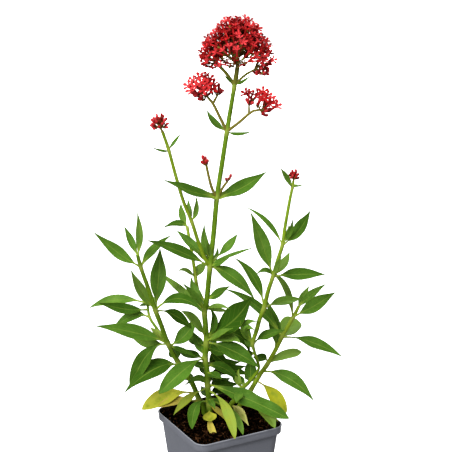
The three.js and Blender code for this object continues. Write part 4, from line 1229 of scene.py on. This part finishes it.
# %% One open flower: its face at the origin, its tube along -Z
def floret_pattern(name, with_stamen):
    floret = begin(name, bpy.ops.mesh.primitive_cube_add, size=1, scale=(0.0008, 0.0011, 0.0004),
                   location=(0.0008, 0, 0))
    pick_faces(floret, lambda middle, normal: normal.x > 0.9)
    pull((0.0016, 0, 0.001), (1, 2.2, 0.9), (0.0028, 0, 0.001))
    pull((0.0014, 0, 0.0004), (1, 0.5, 0.7), (0.0042, 0, 0.0014))
    bpy.ops.mesh.select_all(action="SELECT")
    bpy.ops.mesh.spin(steps=5, dupli=True, angle=math.tau, center=(0, 0, 0), axis=(0, 0, 1))
    bpy.ops.mesh.primitive_cone_add(vertices=5, radius1=0.0007, radius2=0.00115, depth=0.008,
                                    location=(0, 0, -0.0041))
    bpy.ops.mesh.primitive_cone_add(vertices=6, radius1=0.0005, radius2=0.0012, depth=0.0028,
                                    location=(0, 0, -0.0086))
    if with_stamen:
        bpy.ops.mesh.primitive_cone_add(vertices=3, radius1=0.00018, radius2=0.00013, depth=0.005,
                                        location=(0.0003, 0.0002, 0.0023))
        bpy.ops.mesh.primitive_cone_add(vertices=4, radius1=0.0003, radius2=0.0002, depth=0.0007,
                                        location=(0.0003, 0.0002, 0.005))
    end_edit(floret)
    for face in floret.data.polygons:
        if face.center.z < -0.0074 and Vector(face.center[:2]).length > 0.0003:
            face.material_index = 1
        elif face.center.z > 0.0017 and Vector(face.center[:2]).length < 0.001:
            face.material_index = 2
    set_apart(floret)
    return floret


plain_floret = floret_pattern("plain_floret", False)
stamen_floret = floret_pattern("stamen_floret", True)
print("floret:", len(plain_floret.data.polygons), "faces,", open_edges(plain_floret), "open edges")

# %% One bud: its tip at the origin
BUD_RINGS = [(-0.0052, 0.00085), (-0.0042, 0.0011), (-0.0037, 0.00095), (-0.0024, 0.00145), (-0.0011, 0.00135),
             (-0.0002, 0.0008), (0, 0.0003)]
bud = begin("bud_pattern", bpy.ops.mesh.primitive_circle_add, vertices=7, radius=0.0004,
            fill_type="NGON", location=(0, 0, -0.0064))
bpy.ops.mesh.select_mode(type="FACE")
bpy.ops.mesh.select_all(action="SELECT")
height, radius = -0.0064, 0.0004
for next_height, next_radius in BUD_RINGS:
    share = next_radius / radius
    pull((0, 0, next_height - height), (share, share, 1))
    height, radius = next_height, next_radius
end_edit(bud)
for face in bud.data.polygons:
    face.material_index = 1 if face.center.z < -0.0036 else 0
smooth(bud, 70)
set_apart(bud)
print("bud:", len(bud.data.polygons), "faces,", open_edges(bud), "open edges")

# %% Red petals, olive calyces and twigs, dark stamens
def petal_material(name, dark, middle, light):
    material, tree = new_material(name, 0.6, Specular_IOR_Level=0.06)
    tone = tree.node("ShaderNodeAttribute", {"attribute_name": "tone"}, output="Fac")
    cloud = spots(tree, 700, 3)
    shade = (tone + (cloud - 0.5) * 0.5).between(0, 1)
    ramp = tree.node("ShaderNodeValToRGB", {"stops": [(0.0, dark), (0.5, middle), (1.0, light)]}, {0: shade})
    feed(material, "Base Color", ramp)
    feed(material, "Normal", bumps(tree, spots(tree, 2500, 2), 0.0002, 0.5))
    return material


def twig_material():
    material, tree = new_material("olive_twig", 0.55, Specular_IOR_Level=0.08)
    tone = tree.node("ShaderNodeAttribute", {"attribute_name": "tone"}, output="Fac")
    cloud = spots(tree, 450, 3)
    brownish = colour_between(tree, cloud, (0.1, 0.1, 0.011, 1), (0.24, 0.195, 0.035, 1))
    olive = colour_between(tree, (0 - tone).between(0, 1), brownish, (0.1, 0.2, 0.008, 1))
    feed(material, "Base Color", colour_between(tree, (tone * 1.1 + cloud * 0.3).between(0.2, 1.1), olive,
                                                (0.1, 0.02, 0.008, 1)))
    feed(material, "Normal", bumps(tree, cloud, 0.0002, 0.5))
    return material


petal = petal_material("red_petal", (0.1, 0.003, 0.002, 1), (0.38, 0.008, 0.009, 1), (0.58, 0.04, 0.044, 1))
bud_skin = petal_material("red_bud", (0.1, 0.003, 0.003, 1), (0.32, 0.01, 0.012, 1), (0.5, 0.035, 0.04, 1))
olive_twig = twig_material()
stamen_skin = rib_material("dark_stamen", (0.16, 0.03, 0.04, 1), (0.3, 0.1, 0.11, 1))

# %% [markdown]
# ## Flower heads
# Each head is a fountain of forking stalks under a dome. The flowers stand evenly on the
# dome, turned a golden angle from one to the next as seeds are. Flowers that share a fork
# are gathered in small sprays, and a twig from the fork divides to each of them. More
# flowers and buds stand deeper in the dome, which is what makes it look full, and their
# darker tones are painted shade, the shade inside the dome.
# The small side heads have so few flowers that each is placed by the photo.

# %% Where the heads stand
HEADS = [
    {"name": "main_flower_head", "red": 0.35, "thick": (5.2, 3.6, 2.8, 2.2, 2.2), "limb_tone": -0.3,
     "stalks": [
         [(235, 83.5, -2), (237.2, 69, -2), (238, 58, -2)],
         [(234.5, 85.5, -2), (226, 73, -3), (217, 64, -4)],
         [(235, 84.5, -2), (245, 75, 0), (254, 70, 2)],
         [(237.2, 69, -2), (236, 64, 14)],
         [(237.2, 69, -2), (239, 56, -17)],
     ],
     "dome": {"centre": (236.5, 58, -1), "wide": 31.5, "high": 34.6, "peak": 1.6, "reach": 100, "open": 165,
              "buds": 20, "bare_below": 0.3,
              "windows": [(228, 57, 14, 17), (243, 55, 13, 17), (236.5, 41, 5, 7), (251, 66, 12, 9)]},
     "inner": {"open": 70, "buds": 90, "from": 0.58, "to": 0.88, "reach": 76}, "size": (0.8, 1.04), "nod": 0.32,
     "tones": (0.25, 1),
     "flowers": [(227, 62, 16), (235.5, 59, 20), (245, 63, 14), (218, 60, 20), (240, 37.5, 32), (243.5, 42, 31),
                 (225.5, 20.5, 2), (229, 18, 6), (222.5, 25, 8), (245.5, 18, 5), (249.5, 20.5, 0), (254, 23.5, 5),
                 (258, 28.5, -4), (218, 28, -2),
                 (273, 60, 8), (223, 50, 27), (256, 56, 24), (203, 56, 14)],
     "buds": [(229.5, 66.5, 10), (233, 65, 12), (236.5, 64.5, 14), (246, 65.5, 10), (253, 72, 6),
              (266, 75, 4), (270, 74, 2), (203, 63, 8), (208.5, 66.5, 0), (262, 74.5, 4), (268, 71.5, -5), (266, 66, 10),
              (206, 61, 12),
              (200.5, 60.5, 6), (205, 66.5, 4), (258, 75, 6), (260, 71, 14), (265, 72.5, 16), (256, 72, 16), (268, 67.5, 12),
              (262, 68, 18), (269.5, 72, 10), (269.5, 69, 2), (211, 67, 6), (264, 70, 12)]},
    {"name": "left_flower_head", "red": 0.15, "thick": (3.2, 2.6), "tube": 0.85, "size": (1.05, 1.3), "look": 0.45,
     "stalks": [
         [(227, 131.5, 0), (218, 113.5, 2), (213, 103.5, 3), (207.5, 97, 4)],
         [(213, 103.5, 3), (217.5, 95, 2)],
     ],
     "flowers": [(199, 77, 4), (205, 75.5, 1), (210, 78.5, 5), (213.5, 84, 3), (188.5, 85.5, 5), (192.5, 80, 8),
                 (201, 83, 12), (207, 85, 14), (195, 86, 13), (203, 79, -6), (209, 82, -7), (196, 82, -6),
                 (191, 90, 10), (204, 90, 15), (200, 87, -5), (212, 89, 12)],
     "buds": [(193, 95, 8), (197.5, 98.5, 5), (201, 95.5, 12), (190, 91.5, 1), (219, 83, 2), (223.5, 89.5, 2),
              (217, 90, 5), (220.5, 88, 4), (215, 87, 6), (198, 91, -4), (206, 93, 14)]},
    {"name": "right_flower_head", "red": 0.15, "thick": (3.2, 2.6), "tube": 0.85, "size": (1.05, 1.3), "look": 0.45,
     "stalks": [
         [(227, 131.5, 0), (240, 121.6, 4), (249, 113.6, 6), (254, 110.5, 7), (259, 110, 8)],
         [(249, 113.6, 6), (249, 105, 6)],
     ],
     "flowers": [(249, 92, 8), (258.5, 93, 5), (263, 91.5, 10), (267.5, 94, 4), (271, 97, 11), (274, 101, 7),
                 (277, 105.5, 9), (265, 99, 16), (260, 98, 14), (270, 104, 17), (256, 97, 2), (263, 95, 0),
                 (245.5, 93, 8), (252.5, 94, 4)],
     "buds": [(246, 98, 6), (247.5, 101.5, 9), (251, 100.5, 5), (268, 110.5, 13), (268.5, 115.5, 8), (264, 114, 15), (253.5, 102, 10),
              (266, 107, 2), (272.5, 109, 8)]},
    {"name": "tall_bud_head", "red": 0.1, "thick": (2.6,), "size": (0.75, 0.98),
     "stalks": [[(162.8, 132.5, 28), (160, 127, 28)]],
     "dome": {"centre": (159.4, 124.5, 28), "wide": 9, "high": 10.2, "reach": 112, "open": 0, "buds": 23},
     "inner": {"open": 0, "buds": 6, "from": 0.5, "to": 0.8, "reach": 70},
     "buds": []},
    {"name": "left_bud_stalk", "red": 0.35, "thick": (3.1,), "size": (1, 1.2),
     "stalks": [[(217, 197, 4), (213, 191, 6), (210, 182, 8), (206.3, 165, 9)]],
     "buds": [(202.4, 155, 9), (205.2, 156, 6), (208, 159, 8), (200.6, 160.8, 11), (206, 160, 13)]},
    {"name": "right_bud_stalk", "red": 0.35, "thick": (2.9,), "size": (0.95, 1.15),
     "stalks": [[(217, 197, 4), (219.5, 194, 4), (223, 187, 5), (227.5, 181.5, 6)]],
     "buds": [(231.2, 173.8, 6), (229, 177.2, 3), (226, 177.8, 9)]},
    {"name": "right_bud_head", "red": 0.5, "thick": (2.2,), "size": (0.68, 0.9), "tones": (0.2, 0.8),
     "stalks": [[(293.4, 181, 29), (294, 177.5, 29)]],
     "dome": {"centre": (294.2, 175.4, 29), "wide": 5.2, "high": 6, "reach": 108, "open": 0, "buds": 14},
     "buds": []},
]

# %% Places on a dome
GOLDEN = math.pi * (3 - math.sqrt(5))


def in_window(place, windows):
    """Whether the photo shows a place inside one of the head's gaps: column, row, width, height."""
    ray = place - EYE
    column = PICTURE / 2 + FOCAL * ray.dot(ACROSS) / ray.dot(SIGHT)
    row = PICTURE / 2 - FOCAL * ray.dot(SCREEN_UP) / ray.dot(SIGHT)
    return any(((column - x) / wide) ** 2 + ((row - y) / high) ** 2 < 0.25 for x, y, wide, high in windows)


def dome_places(dome, count, reach, sizes, seed):
    """Places spread evenly over a dome, from its top down. Low ones keep to its left and right."""
    dice = random.Random(seed)
    middle = seen(*dome["centre"])
    lowest = 1 - math.cos(math.radians(reach))
    places = []
    for index in range(count):
        rise = 1 - lowest * (index + 0.5) / count
        out = math.sqrt(1 - rise * rise) ** dome.get("peak", 1)
        turn = index * GOLDEN + dice.gauss(0, 0.08)
        size = dice.uniform(*sizes) / 1000
        if rise < dome.get("bare_below", -1) and abs(math.cos(turn)) < 0.6 and dice.random() < 0.75:
            continue
        place = (middle + ACROSS * (dome["wide"] * size * out * math.cos(turn))
                 + AWAY * (dome["wide"] * size * out * math.sin(turn)) + UP * (dome["high"] * size * rise))
        if not in_window(place, dome.get("windows", [])):
            places.append(place)
    return places


# %% Standing a flower or bud, and sharing the twigs out
FLORET_LONG = 0.0098
BUD_LONG = 0.0062


def stood(pattern, place, direction, size, spin, tone, tube):
    """A copy of a flower with its face at a place, looking in a direction, its tube darker."""
    turn = direction.to_track_quat("Z", "Y") @ Quaternion((0, 0, 1), spin)
    matrix = Matrix.Translation(place) @ turn.to_matrix().to_4x4() @ Matrix.Scale(size, 4)
    low = points_of(pattern.data)[:, 2] < -0.0006
    shade = 1 if pattern is bud else np.where(low, tube, 1)
    return placed_copy(pattern, matrix, tone=tone * shade)


def sprays(feet, fork, count):
    """Sorts feet into sprays of neighbours, starting with the one farthest from the fork."""
    left, groups = list(feet), []
    while left:
        first = max(left, key=lambda foot: (foot - fork).length)
        left.sort(key=lambda foot: (foot - first).length)
        groups.append(left[:count])
        left = left[count:]
    return groups


def lay_twig(first, second, thick_first, thick_second, lift, tone):
    """A twig between two places, bowed a little upwards."""
    middle = (first + second) / 2 + UP * lift
    line, shares = smooth_line([first, middle, second], 0.002)
    radii = (thick_first + (thick_second - thick_first) * shares) / 2
    return lay_stalk(twig_pattern, line, radii, tone=tone, joint=0.0)


# %% Building the heads
def flower_list(head, dice):
    """Every flower and bud of a head: its place, whether it is open, and its tone."""
    flowers = []
    tones = head.get("tones", (0.4, 1))
    dome, inner = head.get("dome"), head.get("inner")
    if dome:
        outer = dome_places(dome, dome["open"] + dome["buds"], dome["reach"], (0.88, 1.03), 11)
        last_open = len(outer) - dome["buds"]
        for index, place in enumerate(outer):
            flowers.append((place, index < last_open, dice.uniform(*tones)))
    if inner:
        deep = dome_places(dome, inner["open"] + inner["buds"], inner["reach"], (inner["from"], inner["to"]), 12)
        for place in deep:
            # Deep flowers get low tones: painted shade inside the dome.
            flowers.append((place, dice.random() < inner["open"] / len(deep), dice.uniform(0, 0.4)))
    for place in head.get("flowers", []):
        flowers.append((seen(*place), True, dice.uniform(*tones)))
    for place in head["buds"]:
        flowers.append((seen(*place), False, dice.uniform(*tones)))
    return flowers


def build_head(head, seed):
    dice = random.Random(seed)
    stalks = [[seen(*point) for point in stalk] for stalk in head["stalks"]]
    forks = [stalk[-1] for stalk in stalks]
    blooms, twigs, feet = [], [], {index: [] for index in range(len(forks))}
    for place, is_open, tone in flower_list(head, dice):
        index = min(range(len(forks)), key=lambda i: (forks[i] - place).length)
        outward = (place - forks[index]).normalized()
        spread = head.get("nod", 0.16)
        nod = Vector((dice.gauss(0, spread), dice.gauss(0, spread), dice.gauss(0.2, spread)))
        direction = (outward + nod - SIGHT * head.get("look", 0)).normalized()
        size = dice.uniform(*head.get("size", (0.84, 1.06)))
        gap = (place - forks[index]).length
        whole = FLORET_LONG if is_open else BUD_LONG
        size *= min(max(gap / (whole * size), 0.6), 1)
        pattern = bud
        if is_open:
            pattern = stamen_floret if dice.random() < 0.2 else plain_floret
        spin = dice.uniform(0, 6.28)
        blooms.append((is_open, stood(pattern, place, direction, size, spin, tone, head.get("tube", 0.5))))
        feet[index].append(place - direction * whole * size * 0.97)
    for index, fork in enumerate(forks):
        for spray in sprays(feet[index], fork, 5):
            middle = sum(spray, Vector()) / len(spray)
            hub = fork.lerp(middle, 0.62) if len(spray) > 1 else fork
            if len(spray) > 1:
                twigs.append(lay_twig(fork, hub, 0.0015, 0.0012, 0.0004, head["red"]))
            for foot in spray:
                twigs.append(lay_twig(hub, foot, 0.001, 0.0007, -0.0004, head["red"] + 0.25))
    limbs = []
    for stalk, thick in zip(stalks, head["thick"]):
        line, shares = smooth_line(stalk, 0.002)
        limbs.append(lay_stalk(twig_pattern, line, thick / 2000 * (1 - 0.25 * shares),
                               tone=head.get("limb_tone", head["red"] * 0.4), joint=0.0))
    return blooms, twigs, limbs


total_open = 0
for index, head in enumerate(HEADS):
    blooms, twigs, limbs = build_head(head, 40 + index)
    total_open += sum(is_open for is_open, _ in blooms)
    open_ones = [mesh for is_open, mesh in blooms if is_open]
    closed = [mesh for is_open, mesh in blooms if not is_open]
    if open_ones:
        settle(gather(f"{head['name']}_florets", open_ones, [petal, olive_twig, stamen_skin]),
               [head["name"]])
    settle(gather(f"{head['name']}_buds", closed, [bud_skin, olive_twig]), [head["name"]])
    settle(gather(f"{head['name']}_stalks", twigs + limbs, [olive_twig]), [head["name"]])
print("open flowers:", total_open)

# %% [markdown]
# ## Closing
# Dressing must not change the plant's size.

# %% The end
clear_selection()
